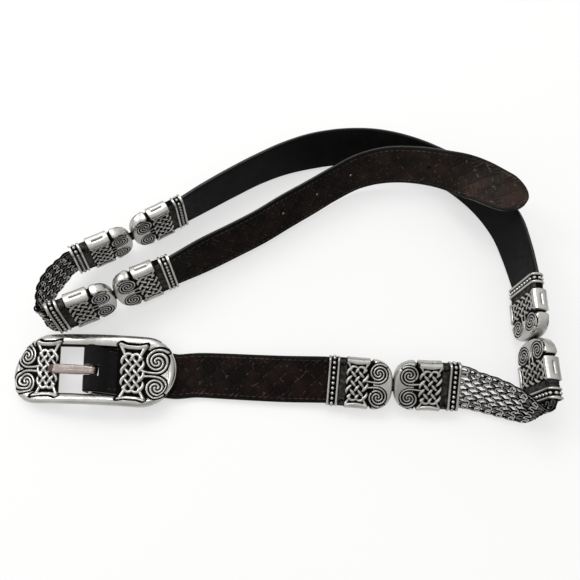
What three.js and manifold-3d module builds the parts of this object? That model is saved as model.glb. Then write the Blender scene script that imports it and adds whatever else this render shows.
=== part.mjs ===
// Braided leather belt: three leather straps and two woven chain bands, joined through cast metal caps
// with knot and spiral relief, and an open centre-bar buckle. It lies unfastened on a flat surface.
// Millimetres, +Z up. The belt runs from the buckle at the left front, along the front to the right,
// round the back to the left, and ends with its free tip lying over the back strap.
import * as THREE from "three";
import { mergeVertices } from "three/addons/utils/BufferGeometryUtils.js";
import Module from "manifold-3d";

const wasm = await Module();
wasm.setup();

// Driving sizes
const STRAP_WIDTH = 25;
const STRAP_THICK = 2.8;
const STRAP_EDGE = 0.6; // chamfer along the long edges
const STRAP_STEP = 11; // length of one flat along a bend
const CHAIN_WIDTH = 24;
const CHAIN_THICK = 3.6;
const CHAIN_EDGE = 1;
const CHAIN_STEP = 3.4;
const GAP = 0.3; // running and seating gap between touching pieces
const TIP_LENGTH = 15; // rounded stretch at the free end of the belt
const HOLE_DIAMETER = 3;
const HOLE_PITCH = 25.4;
const HOLE_COUNT = 5;
const FIRST_HOLE = 62; // from the free end
const POCKET_DEPTH = 9; // socket of a cap
const SEAT_DEPTH = 8; // how far a strap or band goes in

const CAP = {
  length: 33,
  width: 27.1,
  core: 3.3, // half thickness at the bottom of the relief
  crown: 4, // half thickness over rims and edge blocks
  relief: 0.6, // height of the knots and spirals
  ridge: 1.2, // width of one strand
  end: 13, // length of the rounded end
  rim: 1.9, // width of the rim round that end
  blockFrom: 8.4, // polished block on each side edge
  blockTo: 20.9,
  collar: 5.3, // beaded band round the mouth
  rail: 1.1,
  beadRow: 0.45, // height of the plain bar that carries the beads
};

const BUCKLE = {
  x: -107.6, // centre of the bar
  y: -51.4,
  heading: -2.8,
  halfLength: 45.3,
  halfWidth: 19.75,
  end: 17.5, // length of each elliptical end
  leftHeight: 1.9, // middle of the metal at the left end, the right end and the rise between
  rightHeight: 6.6,
  rise: 7,
  sideRim: 6.4,
  endRim: 4.2,
  openingFrom: -18.2,
  openingTo: 14.6,
  plateTop: 0.9,
  plateBottom: -1.2,
  barRadius: 1.5,
  barHeight: 9.3,
};
const PRONG_WIDTH = 5.2;
const PRONG_REACH = 23.2;

// The part's origin is the middle of its own box, on the surface it lies on.
const ORIGIN_SHIFT = new THREE.Vector3(5.93, -12.07, 0.09);

// Caps: centre of the mouth, then heading, pitch and roll of the belt there, in degrees.
// Roll is 0 with the outer face up and 90 with the belt standing on its edge.
// `face` is 1 where the decorated side is the belt's outer face and -1 where it is the inner one.
const capColumns = ["name", "x", "y", "z", "heading", "pitch", "roll", "face", "first", "holds"];
const capTable = [
  ["cap_front_strap", 21.5, -57.3, 9.0, -5.4, 1.0, 24, 1, "mouth", "strap"],
  ["cap_right_chain_front", 88.4, -61.3, 11.2, -2.4, 0.6, 35, 1, "tip", "chain"],
  ["cap_right_chain_back", 130.8, -70.1, 15.3, 85.3, -0.9, 98, -1, "mouth", "chain"],
  ["cap_back_strap_right", 135.4, -3.0, 14.2, 84.3, -1.5, 96.5, -1, "tip", "strap"],
  ["cap_back_strap_left", -66.7, 47.4, 13.9, 214.0, 3.4, 89, -1, "mouth", "strap"],
  ["cap_left_chain_back", -123.6, 10.8, 18.4, 212.3, 7.6, 83.5, -1, "tip", "chain"],
  ["cap_left_chain_front", -128.9, -25.2, 18.9, 28.0, -7.0, 85, 1, "mouth", "chain"],
  ["cap_end_strap", -69.2, 5.5, 14.2, 27.7, -3.5, 80.4, 1, "tip", "strap"],
];
const linkPairs = [
  ["link_front", "cap_front_strap", "cap_right_chain_front"],
  ["link_right", "cap_right_chain_back", "cap_back_strap_right"],
  ["link_left_back", "cap_back_strap_left", "cap_left_chain_back"],
  ["link_left_front", "cap_left_chain_front", "cap_end_strap"],
];

// Middle lines of the soft runs: x, y, z and roll, between the caps that hold them.
const rightChain = [
  [96.0, -63.2, 11.0, 46],
  [103.4, -65.4, 11.3, 50],
  [110.6, -68.2, 11.9, 56],
  [117.4, -71.6, 12.9, 65],
  [123.4, -75.0, 14.1, 76],
  [128.4, -76.2, 15.1, 88],
];
const backStrap = [
  [134.8, 18.9, 13.1, 103],
  [131.5, 37.4, 13.0, 108],
  [122.3, 55.3, 13.0, 106],
  [109.7, 70.7, 13.0, 107],
  [93.9, 83.0, 13.0, 105],
  [75.9, 92.1, 13.0, 107],
  [56.4, 97.1, 13.0, 112],
  [36.5, 97.5, 13.0, 115],
  [16.4, 94.3, 13.0, 113],
  [-2.6, 88.1, 13.0, 104],
  [-20.5, 79.1, 13.0, 98],
  [-37.6, 68.3, 13.0, 96],
  [-54.1, 57.0, 13.0, 93],
];
const leftChain = [
  [-129.2, 6.0, 18.2, 84],
  [-133.0, 0.6, 17.9, 87],
  [-136.4, -6.0, 17.6, 86],
  [-138.2, -13.0, 17.6, 82],
  [-137.6, -19.5, 17.8, 79],
  [-134.9, -25.0, 18.3, 80],
];
const endStrap = [
  [-50.4, 17.0, 13.1, 71],
  [-33.9, 26.4, 13.3, 70],
  [-18.0, 36.1, 13.2, 69],
  [-2.7, 46.9, 13.3, 68],
  [12.7, 57.0, 13.6, 69],
  [27.9, 67.2, 14.0, 70],
  [43.8, 76.0, 15.0, 68],
  [61.2, 79.4, 17.0, 66],
  [80.4, 77.6, 19.1, 67],
  [98.6, 70.9, 22.3, 62],
  [113.9, 61.3, 26.0, 29],
  [125.9, 50.7, 29.4, 11],
  [139.0, 44.0, 29.6, 0],
];
// The front strap folds round the bar: distance from the bar along the buckle, and height.
const FOLD_RADIUS = BUCKLE.barRadius + 1.5 * GAP + STRAP_THICK / 2;
const flapTable = [
  [33, 1.5],
  [24, 1.5],
  [15, 2.1],
  [7, 4.4],
];
const runOutTable = [
  [5, 11.1],
  [10, 8.4],
  [17, 6.2],
  [25, 4.9],
  [35, 4.7],
  [41, 3.6],
  [46, 2.7],
];
const frontStrap = [
  [-51.0, -52.7, 2.1, 1],
  [-36.0, -53.6, 3.3, 6],
  [-20.0, -54.7, 4.4, 10],
  [-4.0, -55.8, 6.0, 16],
  [10.0, -56.6, 8.0, 22],
];

// Solids
const rad = THREE.MathUtils.degToRad;
const vec = (x, y, z) => new THREE.Vector3(x, y, z);

function solidFrom(geometry) {
  const bare = geometry.clone();
  bare.deleteAttribute("normal");
  bare.deleteAttribute("uv");
  const merged = mergeVertices(bare, 1e-4);
  const mesh = { numProp: 3, vertProperties: merged.attributes.position.array };
  return new wasm.Manifold(new wasm.Mesh({ ...mesh, triVerts: new Uint32Array(merged.index.array) }));
}

function geometryFrom(solid) {
  const mesh = solid.getMesh();
  const geometry = new THREE.BufferGeometry();
  geometry.setAttribute("position", new THREE.BufferAttribute(mesh.vertProperties, 3));
  geometry.setIndex(new THREE.BufferAttribute(mesh.triVerts, 1));
  const flat = geometry.toNonIndexed();
  flat.computeVertexNormals();
  return flat;
}

const fuse = (solids) => solids.reduce((whole, solid) => whole.add(solid));
const cutFrom = (solid, cutters) => cutters.reduce((left, cutter) => left.subtract(cutter), solid);

function block(from, to) {
  const size = to.clone().sub(from);
  const geometry = new THREE.BoxGeometry(size.x, size.y, size.z);
  const middle = from.clone().add(to).multiplyScalar(0.5);
  return solidFrom(geometry.translate(middle.x, middle.y, middle.z));
}

// A prism with the outline [x, y] standing along +Z between two heights.
function prism(outline, bottom, top) {
  const shape = new THREE.Shape(outline.map(([x, y]) => new THREE.Vector2(x, y)));
  const geometry = new THREE.ExtrudeGeometry(shape, { depth: top - bottom, bevelEnabled: false });
  return geometry.translate(0, 0, bottom);
}

// Skins rings of points, each the same length and in the same turning order, into a closed body.
function skin(rings, closed = false) {
  const count = rings[0].length;
  const positions = rings.flat().flatMap((p) => [p.x, p.y, p.z]);
  const faces = [];
  const last = closed ? rings.length : rings.length - 1;
  for (let i = 0; i < last; i++) {
    const near = i * count;
    const far = ((i + 1) % rings.length) * count;
    for (let j = 0; j < count; j++) {
      const k = (j + 1) % count;
      faces.push(near + j, near + k, far + k, near + j, far + k, far + j);
    }
  }
  if (!closed) {
    const end = (rings.length - 1) * count;
    for (let j = 1; j < count - 1; j++) {
      faces.push(0, j + 1, j, end, end + j, end + j + 1);
    }
  }
  const geometry = new THREE.BufferGeometry();
  geometry.setAttribute("position", new THREE.Float32BufferAttribute(positions, 3));
  return geometry.setIndex(faces);
}

// Frames along the belt. `out` is the decorated face, `across` the width.
function frameAt(along, roll, side) {
  const level = side
    ? side.clone().addScaledVector(along, -side.dot(along)).normalize()
    : vec(-along.y, along.x, 0).normalize();
  const up = along.clone().cross(level);
  const across = level.multiplyScalar(Math.cos(rad(roll))).addScaledVector(up, Math.sin(rad(roll)));
  return { across, out: along.clone().cross(across) };
}

const caps = Object.fromEntries(
  capTable.map((row) => {
    const cap = Object.fromEntries(capColumns.map((column, i) => [column, row[i]]));
    const flat = Math.cos(rad(cap.pitch));
    const along = vec(
      Math.cos(rad(cap.heading)) * flat,
      Math.sin(rad(cap.heading)) * flat,
      Math.sin(rad(cap.pitch)),
    );
    cap.mouth = vec(cap.x, cap.y, cap.z);
    cap.toTip = along.clone().multiplyScalar(cap.first === "tip" ? -1 : 1);
    const turned = frameAt(along, cap.roll);
    cap.across = turned.across;
    cap.front = turned.out.multiplyScalar(cap.face);
    return [cap.name, cap];
  }),
);

// Where a strap or band runs inside a cap and just outside its mouth.
function seat(name, lead) {
  const cap = caps[name];
  const at = (distance) => {
    const p = cap.mouth.clone().addScaledVector(cap.toTip, distance);
    return [p.x, p.y, p.z, cap.roll];
  };
  return [at(-lead), at(0), at(SEAT_DEPTH)];
}

// Samples a run of stations: a smooth curve through x, y and z, and another through the roll.
function sample(stations, step, side) {
  const smooth = (points) => new THREE.CatmullRomCurve3(points, false, "catmullrom", 0.5);
  const line = smooth(stations.map(([x, y, z]) => vec(x, y, z)));
  const rolls = smooth(stations.map((row) => vec(row[3], 0, 0)));
  const spans = stations.length - 1;
  const frames = [];
  const add = (t) => {
    const at = line.getPoint(t);
    const along = line.getTangent(t);
    frames.push({ at, along, ...frameAt(along, rolls.getPoint(t).x, side) });
  };
  for (let i = 0; i < spans; i++) {
    const [a, b] = [stations[i], stations[i + 1]];
    const pieces = Math.max(1, Math.round(Math.hypot(b[0] - a[0], b[1] - a[1], b[2] - a[2]) / step));
    for (let j = 0; j < pieces; j++) add((i + j / pieces) / spans);
  }
  add(1);
  let run = 0;
  frames.forEach((frame, i) => {
    if (i) run += frame.at.distanceTo(frames[i - 1].at);
    frame.run = run;
  });
  return frames;
}

// A band of the given section; `narrow` scales its width along the run.
function band(frames, width, thick, edge, narrow = () => 1) {
  const [w, t] = [width / 2, thick / 2];
  const section = [
    [-w, -t + edge],
    [-w + edge, -t],
    [w - edge, -t],
    [w, -t + edge],
    [w, t - edge],
    [w - edge, t],
    [-w + edge, t],
    [-w, t - edge],
  ];
  const rings = frames.map((frame) =>
    section.map(([a, o]) =>
      frame.at
        .clone()
        .addScaledVector(frame.across, a * narrow(frame.run))
        .addScaledVector(frame.out, o),
    ),
  );
  return skin(rings);
}

// Relief: a raised strand along a flat path, laid on a surface given as height over x.
function strand(path, width, height, surface) {
  const rings = path.map(([x, y], i) => {
    const before = path[Math.max(i - 1, 0)];
    const after = path[Math.min(i + 1, path.length - 1)];
    const [dx, dy] = [after[0] - before[0], after[1] - before[1]];
    const scale = width / 2 / Math.hypot(dx, dy);
    const [sx, sy] = [-dy * scale, dx * scale];
    const base = surface(x);
    return [vec(x - sx, y - sy, base - 0.4), vec(x + sx, y + sy, base - 0.4), vec(x, y, base + height)];
  });
  return solidFrom(skin(rings));
}

// A spiral that runs out from its middle, anticlockwise for turn 1 and clockwise for turn -1.
function spiralPath([x, y], radius, turn) {
  const [steps, stepAngle, first] = [9, 64, 0.7];
  return Array.from({ length: steps + 1 }, (_, i) => {
    const reach = first + (radius - first) * (i / steps);
    const angle = rad(180 + turn * i * stepAngle);
    return [x + reach * Math.cos(angle), y + reach * Math.sin(angle)];
  });
}

// Four strands plaited over each other: a lattice whose openings are the cells between crossings.
// `half` is the reach of the outer strands to each side and `row` the distance between crossings.
function plait(middle, half, row, ridge, height, surface) {
  const [cellX, cellY] = [half / 2, row / 2];
  const slant = Math.hypot(cellX, cellY);
  const side = [];
  for (let k = -3; k <= 3; k++) {
    side.push([(k % 2 ? cellX : half) + (ridge / 2) * (slant / cellY), k * cellY]);
  }
  const outline = [...side, ...side.map(([x, y]) => [-x, -y])];
  const toPoint = ([x, y]) => new THREE.Vector2(middle + x, y);
  const shape = new THREE.Shape(outline.map(toPoint));
  const open = 1 - ((ridge / 2) * slant) / (cellX * cellY);
  const cell = (x, y) => {
    const corners = [[1, 0], [0, -1], [-1, 0], [0, 1]];
    const points = corners.map(([i, j]) => toPoint([x + i * cellX * open, y + j * cellY * open]));
    shape.holes.push(new THREE.Path(points));
  };
  for (const k of [-1, 1]) cell(0, k * cellY);
  for (const k of [-2, 0, 2]) for (const x of [-cellX, cellX]) cell(x, k * cellY);
  const geometry = new THREE.ExtrudeGeometry(shape, { depth: height + 0.4, bevelEnabled: false });
  const place = geometry.attributes.position;
  for (let i = 0; i < place.count; i++) {
    place.setZ(i, place.getZ(i) - 0.4 + surface(place.getX(i)));
  }
  return solidFrom(geometry);
}

// One motif: two spirals and a plait that ends in a flared loop at each side.
function motif({ middle, half, row, flare, reach, spiralAt, spiralRadius, side, ridge, relief, surface }) {
  const pieces = [plait(middle, half, row, ridge, relief, surface)];
  for (const turn of [1, -1]) {
    const path = spiralPath([spiralAt, turn * side], spiralRadius - ridge / 2, -turn);
    pieces.push(strand(path, ridge * 1.25, relief, surface));
    const loop = [
      [middle - half / 2, row * 1.42],
      [middle - flare, reach],
      [middle + flare, reach],
      [middle + half / 2, row * 1.42],
    ].map(([x, y]) => [x, turn * y]);
    pieces.push(strand(turn > 0 ? loop : loop.reverse(), ridge * 1.2, relief, surface));
  }
  return fuse(pieces);
}

// Caps, built with the mouth at x = 0, the tip along +X and the faces up and down
function capOutline(halfWidth, length, inset, from) {
  const points = [];
  for (let i = 0; i <= 8; i++) {
    const angle = -Math.PI / 2 + (Math.PI * i) / 8;
    const x = length - CAP.end + (CAP.end - inset) * Math.cos(angle);
    points.push([Math.max(x, from), (halfWidth - inset) * Math.sin(angle)]);
  }
  return points;
}

// A bar along X with chamfered corners.
function bar(from, to, halfWidth, halfThick, corner) {
  const [w, t, c] = [halfWidth, halfThick, corner];
  const outline = [[-w, -t + c], [-w + c, -t], [w - c, -t], [w, -t + c]];
  outline.push([w, t - c], [w - c, t], [-w + c, t], [-w, t - c]);
  const geometry = prism(outline, from, to);
  geometry.applyMatrix4(new THREE.Matrix4().makeBasis(vec(0, 1, 0), vec(0, 0, 1), vec(1, 0, 0)));
  return solidFrom(geometry);
}

function capSolid(innerWidth, innerThick) {
  const halfWidth = CAP.width / 2;
  const coreWidth = halfWidth - 0.5;
  const shell = capOutline(coreWidth, CAP.length - 0.5, 0, 0);
  shell.unshift([0, -coreWidth]);
  shell.push([0, coreWidth]);
  const pieces = [solidFrom(prism(shell, -CAP.core, CAP.core))];

  const rimFrom = CAP.blockTo + 1.9;
  const outer = capOutline(halfWidth, CAP.length, 0, rimFrom);
  const inner = capOutline(halfWidth, CAP.length, CAP.rim, rimFrom - 0.01);
  pieces.push(solidFrom(prism([...outer, ...inner.reverse()], -CAP.crown, CAP.crown)));

  for (const turn of [1, -1]) {
    const edge = bar(CAP.blockFrom, CAP.blockTo, 1.1, CAP.crown, 0.8);
    pieces.push(edge.translate([0, turn * (halfWidth - 0.9), 0]));
  }
  for (const from of [0, CAP.collar - CAP.rail]) {
    pieces.push(bar(from, from + CAP.rail, halfWidth + 0.1, CAP.crown + 0.1, 1.2));
  }
  pieces.push(bar(CAP.rail / 2, CAP.collar - CAP.rail / 2, halfWidth - 0.3, CAP.core + CAP.beadRow, 1));
  const lines = motif({
    middle: 14.4,
    half: 4.2,
    row: 5.5,
    flare: 5,
    reach: 11.6,
    spiralAt: 25.1,
    spiralRadius: 5.2,
    side: 6.1,
    ridge: CAP.ridge,
    relief: CAP.relief,
    surface: () => CAP.core,
  });
  const pocket = bar(-1, POCKET_DEPTH, innerWidth / 2, innerThick / 2, 0.4);
  const linkHole = bar(CAP.length - 4.4, CAP.length + 1, 4.6, 2.1, 0.5);
  return cutFrom(fuse([...pieces, lines]), [pocket, linkHole]);
}

// Buckle, built along X with the bar at x = 0 and heights from the surface
const archHeight = (x) =>
  BUCKLE.leftHeight +
  ((BUCKLE.rightHeight - BUCKLE.leftHeight) * (x + BUCKLE.halfLength)) / (2 * BUCKLE.halfLength) +
  BUCKLE.rise * (1 - (x / BUCKLE.halfLength) ** 2);

// Walks the oval once: a point, its outward direction and the rim's width there.
function ovalWalk(steps) {
  const straight = BUCKLE.halfLength - BUCKLE.end;
  const walk = [];
  const arcSteps = Math.round(steps / 3.4);
  for (const turn of [1, -1]) {
    for (let i = 0; i <= arcSteps; i++) {
      const angle = -Math.PI / 2 + (Math.PI * i) / arcSteps;
      const [c, s] = [Math.cos(angle), Math.sin(angle)];
      const outward = vec(c / BUCKLE.end, s / BUCKLE.halfWidth, 0).normalize();
      const at = vec(straight + BUCKLE.end * c, BUCKLE.halfWidth * s, 0);
      const width = THREE.MathUtils.lerp(BUCKLE.sideRim, BUCKLE.endRim, c ** 2);
      walk.push({ at: at.multiplyScalar(turn), outward: outward.multiplyScalar(turn), width });
    }
    for (const share of [0.25, 0.5, 0.75]) {
      const at = vec(straight * (1 - 2 * share), BUCKLE.halfWidth, 0).multiplyScalar(turn);
      walk.push({ at, outward: vec(0, turn, 0), width: BUCKLE.sideRim });
    }
  }
  return walk;
}

function buckleFrame() {
  // distance in from the outer edge as a share of the rim's width, and height over the arch
  const section = [[1, -1.6], [1, 0.6], [0.78, 1.7], [0.45, 2.1], [0.16, 1.3], [0, 0.1], [0.1, -1.6]];
  const rim = ovalWalk(30).map(({ at, outward, width }) =>
    section.map(([share, height]) => {
      const p = at.clone().addScaledVector(outward, -share * width);
      p.z = archHeight(p.x) + height;
      return p;
    }),
  );
  const pieces = [solidFrom(skin(rim, true))];

  const inner = BUCKLE.halfWidth - BUCKLE.sideRim + 1.2;
  const plateEnd = BUCKLE.halfLength - BUCKLE.endRim + 1;
  const plate = (from, to, count) => {
    const rings = Array.from({ length: count + 1 }, (_, i) => {
      const x = from + ((to - from) * i) / count;
      const past = Math.max(0, Math.abs(x) - (BUCKLE.halfLength - BUCKLE.end));
      const y = inner * Math.sqrt(Math.max(0.02, 1 - (past / (BUCKLE.end - 2.4)) ** 2));
      const z = archHeight(x);
      return [
        vec(x, -y, z + BUCKLE.plateBottom),
        vec(x, y, z + BUCKLE.plateBottom),
        vec(x, y, z + BUCKLE.plateTop),
        vec(x, -y, z + BUCKLE.plateTop),
      ];
    });
    return solidFrom(skin(rings));
  };
  pieces.push(plate(-plateEnd, BUCKLE.openingFrom, 7), plate(BUCKLE.openingTo, plateEnd, 7));

  const barLength = 2 * (BUCKLE.halfWidth - BUCKLE.sideRim / 2);
  const rod = new THREE.CylinderGeometry(BUCKLE.barRadius, BUCKLE.barRadius, barLength, 12);
  pieces.push(solidFrom(rod).translate([0, 0, BUCKLE.barHeight]));

  for (const end of [1, -1]) {
    const centre = end > 0 ? 22.9 : -25.2;
    const lines = motif({
      middle: Math.abs(centre),
      half: 5.6,
      row: 7,
      flare: 6.6,
      reach: 14.9,
      spiralAt: 35.6,
      spiralRadius: 6.3,
      side: 7.2,
      ridge: 1.6,
      relief: 0.7,
      surface: (x) => archHeight(x * end) + BUCKLE.plateTop,
    });
    pieces.push(end > 0 ? lines : lines.mirror([1, 0, 0]));
  }
  return fuse(pieces);
}

function bucklePin() {
  // side view of the prong, with x towards the tip as negative and z as height
  const top = BUCKLE.barHeight + 3.1;
  const outline = [
    [1, top - 2.3],
    [1, top],
    [-8, top + 0.2],
    [-PRONG_REACH + 2.4, top + 0.5],
    [-PRONG_REACH, top - 0.5],
    [-PRONG_REACH, top - 1.7],
    [-PRONG_REACH + 2.4, top - 1.4],
    [-8, top - 1.9],
  ];
  const toSide = new THREE.Matrix4().makeBasis(vec(1, 0, 0), vec(0, 0, 1), vec(0, -1, 0));
  const half = PRONG_WIDTH / 2;
  const arm = solidFrom(prism(outline, -half, half).applyMatrix4(toSide));
  const plan = [[4, -half], [4, half]];
  for (let i = 0; i <= 6; i++) {
    const angle = Math.PI / 2 + (Math.PI * i) / 6;
    plan.push([-PRONG_REACH + 2.2 + 2.2 * Math.cos(angle), half * Math.sin(angle)]);
  }
  const rounded = arm.intersect(solidFrom(prism(plan.reverse(), 0, 30)));
  const ring = new THREE.CylinderGeometry(3.1, 3.1, PRONG_WIDTH, 14);
  const bore = new THREE.CylinderGeometry(BUCKLE.barRadius + GAP, BUCKLE.barRadius + GAP, 30, 14);
  const atBar = (geometry) => solidFrom(geometry).translate([0, 0, BUCKLE.barHeight]);
  return cutFrom(fuse([rounded, atBar(ring)]), [atBar(bore)]);
}

// Straps
const buckleTurn = new THREE.Matrix4()
  .makeRotationZ(rad(BUCKLE.heading))
  .setPosition(BUCKLE.x, BUCKLE.y, 0);

function frontStrapSolid() {
  const place = (d, z) => {
    const p = vec(d, 0, z).applyMatrix4(buckleTurn);
    return [p.x, p.y, p.z, 0];
  };
  const round = [270, 225, 180, 135, 90].map((angle) =>
    place(FOLD_RADIUS * Math.cos(rad(angle)), BUCKLE.barHeight + FOLD_RADIUS * Math.sin(rad(angle))),
  );
  const stations = [
    ...flapTable.map(([d, z]) => place(d, z)),
    ...round,
    ...runOutTable.map(([d, z]) => place(d, z)),
    ...frontStrap,
    ...seat("cap_front_strap", 3),
  ];
  const side = vec(0, 1, 0).transformDirection(buckleTurn);
  const whole = solidFrom(band(sample(stations, 7, side), STRAP_WIDTH, STRAP_THICK, STRAP_EDGE));
  const half = PRONG_WIDTH / 2 + 0.4;
  const slot = block(vec(-8, -half, 2.6), vec(4.9, half, 20));
  return whole.subtract(slot.transform(buckleTurn.elements));
}

// The frame at a distance along a sampled run.
function frameAlong(frames, run) {
  const i = Math.max(1, frames.findIndex((frame) => frame.run >= run));
  const [a, b] = [frames[i - 1], frames[i]];
  const share = (run - a.run) / (b.run - a.run);
  const mix = (key) => a[key].clone().lerp(b[key], share);
  return { at: mix("at"), across: mix("across").normalize(), out: mix("out").normalize(), run };
}

function endStrapSolid() {
  const frames = sample([...seat("cap_end_strap", 3).reverse(), ...endStrap], STRAP_STEP);
  const length = frames.at(-1).run;
  const roundFrom = length - TIP_LENGTH;
  const rounded = [90, 66, 46, 30, 17, 7].map((angle) =>
    frameAlong(frames, roundFrom + TIP_LENGTH * Math.cos(rad(angle))),
  );
  const narrow = (run) => Math.sqrt(Math.max(0.01, 1 - (Math.max(0, run - roundFrom) / TIP_LENGTH) ** 2));
  const all = [...frames.filter((frame) => frame.run < roundFrom), ...rounded];
  const strap = solidFrom(band(all, STRAP_WIDTH, STRAP_THICK, STRAP_EDGE, narrow));
  const holes = Array.from({ length: HOLE_COUNT }, (_, k) => {
    const { at, out } = frameAlong(frames, length - FIRST_HOLE - k * HOLE_PITCH);
    const drill = new THREE.CylinderGeometry(HOLE_DIAMETER / 2, HOLE_DIAMETER / 2, 8, 10);
    drill.applyQuaternion(new THREE.Quaternion().setFromUnitVectors(vec(0, 1, 0), out));
    return solidFrom(drill.translate(at.x, at.y, at.z));
  });
  return cutFrom(strap, holes);
}

function strapBetween(from, stations, to) {
  const frames = sample([...seat(from, 3).reverse(), ...stations, ...seat(to, 3)], STRAP_STEP);
  return solidFrom(band(frames, STRAP_WIDTH, STRAP_THICK, STRAP_EDGE));
}

function chainBetween(from, stations, to) {
  const frames = sample([...seat(from, 2.5).reverse(), ...stations, ...seat(to, 2.5)], CHAIN_STEP);
  return solidFrom(band(frames, CHAIN_WIDTH, CHAIN_THICK, CHAIN_EDGE));
}

function linkSolid(nameA, nameB) {
  const [a, b] = [caps[nameA], caps[nameB]];
  const tip = (cap) => cap.mouth.clone().addScaledVector(cap.toTip, CAP.length);
  const middle = tip(a).add(tip(b)).multiplyScalar(0.5);
  const along = a.toTip.clone().sub(b.toTip).normalize();
  const across = a.across.clone().add(b.across);
  across.addScaledVector(along, -across.dot(along)).normalize();
  const matrix = new THREE.Matrix4().makeBasis(along, across, along.clone().cross(across));
  matrix.setPosition(middle);
  return bar(-3.9, 3.9, 3.4, 1.1, 0.5).transform(matrix.elements);
}

// Materials
const metal = { color: 0x8c8a86, roughness: 0.34, metalness: 1 };
const darkMetal = { color: 0x5f5d5a, roughness: 0.42, metalness: 1 };
const warmMetal = { color: 0xa79489, roughness: 0.4, metalness: 1 };
const leather = { color: 0x1b1412, roughness: 0.55, metalness: 0 };

const belt = new THREE.Group();
const placed = new THREE.Group();
placed.position.copy(ORIGIN_SHIFT);
belt.add(placed);

function put(group, name, solid, look) {
  const mesh = new THREE.Mesh(geometryFrom(solid), new THREE.MeshStandardMaterial(look));
  mesh.name = name;
  group.add(mesh);
  return mesh;
}

const buckle = new THREE.Group();
buckle.position.set(BUCKLE.x, BUCKLE.y, 0);
buckle.rotation.z = rad(BUCKLE.heading);
placed.add(buckle);
put(buckle, "buckle_frame", buckleFrame(), metal);
put(buckle, "buckle_prong", bucklePin(), warmMetal);

put(placed, "front_strap", frontStrapSolid(), leather);
const rightBand = chainBetween("cap_right_chain_front", rightChain, "cap_right_chain_back");
const leftBand = chainBetween("cap_left_chain_back", leftChain, "cap_left_chain_front");
put(placed, "right_chain", rightBand, darkMetal);
put(placed, "back_strap", strapBetween("cap_back_strap_right", backStrap, "cap_back_strap_left"), leather);
put(placed, "left_chain", leftBand, darkMetal);
put(placed, "end_strap", endStrapSolid(), leather);

const capBodies = {
  strap: capSolid(STRAP_WIDTH + 2 * GAP, STRAP_THICK + 2 * GAP),
  chain: capSolid(CHAIN_WIDTH + 2 * GAP, CHAIN_THICK + 2 * GAP),
};
for (const cap of Object.values(caps)) {
  const mesh = put(placed, cap.name, capBodies[cap.holds], metal);
  const basis = new THREE.Matrix4().makeBasis(cap.toTip, cap.front.clone().cross(cap.toTip), cap.front);
  mesh.applyMatrix4(basis.setPosition(cap.mouth));
}
for (const [name, a, b] of linkPairs) put(placed, name, linkSolid(a, b), darkMetal);

export default belt;
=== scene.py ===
# %% [markdown]
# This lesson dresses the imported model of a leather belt: straps with a stamped weave, bands of
# woven rings, cast caps with knots and spirals, and a centre-bar buckle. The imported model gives
# the place of every piece, so each cell below only decides how one piece looks.

# %% The frame
import math

import bpy
import numpy as np
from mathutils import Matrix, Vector


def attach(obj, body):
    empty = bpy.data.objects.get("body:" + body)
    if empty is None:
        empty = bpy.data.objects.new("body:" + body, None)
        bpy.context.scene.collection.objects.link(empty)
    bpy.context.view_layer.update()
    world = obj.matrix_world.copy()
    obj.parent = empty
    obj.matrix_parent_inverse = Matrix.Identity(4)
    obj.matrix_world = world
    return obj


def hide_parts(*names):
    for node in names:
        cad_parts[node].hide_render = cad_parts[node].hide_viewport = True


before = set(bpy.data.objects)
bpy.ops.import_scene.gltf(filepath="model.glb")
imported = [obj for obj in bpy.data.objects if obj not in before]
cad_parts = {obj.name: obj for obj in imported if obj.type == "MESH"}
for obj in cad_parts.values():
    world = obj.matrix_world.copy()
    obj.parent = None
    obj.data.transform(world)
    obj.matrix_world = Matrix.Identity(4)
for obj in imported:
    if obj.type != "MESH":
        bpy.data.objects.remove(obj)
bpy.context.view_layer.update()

# %% [markdown]
# The camera comes first, because every later choice is judged through it. A lens could be guessed
# by eye, but the belt's known strap width gives the view: the camera looks down at 66 degrees from
# a little over 0.3 m, with a wide lens. Lengths are in millimetres below, and a mesh is scaled to
# metres when it is made.

# %% Camera
MM = 0.001
ORIGIN_SHIFT = np.array([5.93, -12.07, 0.09])
VIEW_ELEVATION = 66
VIEW_DISTANCE = 301.635
FOCAL_SHARE = 500 / 580  # focal length over the picture's width

camera_data = bpy.data.cameras.new("camera")
camera_data.sensor_width = 36
camera_data.lens = FOCAL_SHARE * camera_data.sensor_width
camera_data.clip_start = 0.01
camera = bpy.data.objects.new("camera", camera_data)
bpy.context.scene.collection.objects.link(camera)
elevation = math.radians(VIEW_ELEVATION)
eye = np.array([0, -math.cos(elevation), math.sin(elevation)]) * VIEW_DISTANCE + ORIGIN_SHIFT
camera.location = Vector(eye * MM)
camera.rotation_euler = (math.pi / 2 - elevation, 0, 0)
bpy.context.scene.camera = camera
print("camera at", [round(x, 4) for x in camera.location], "lens", round(camera_data.lens, 2))

# %% [markdown]
# The straps and bands of rings follow smooth lines through a few stations: x, y, z and roll. They
# are the same stations as in the solids, so that the dressed strap lies in the solid strap. Roll is
# 0 with the outer face up and 90 with the strap standing on its edge.

# %% Stations of the caps and the soft runs
STRAP_WIDTH, STRAP_THICK = 25.0, 2.8
SEAT_DEPTH = 8.0
BUCKLE_AT = (-107.6, -51.4)
BUCKLE_HEADING = -2.8
BAR_RADIUS, BAR_HEIGHT = 1.5, 9.3
PRONG_WIDTH = 5.2
GAP = 0.3

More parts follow.
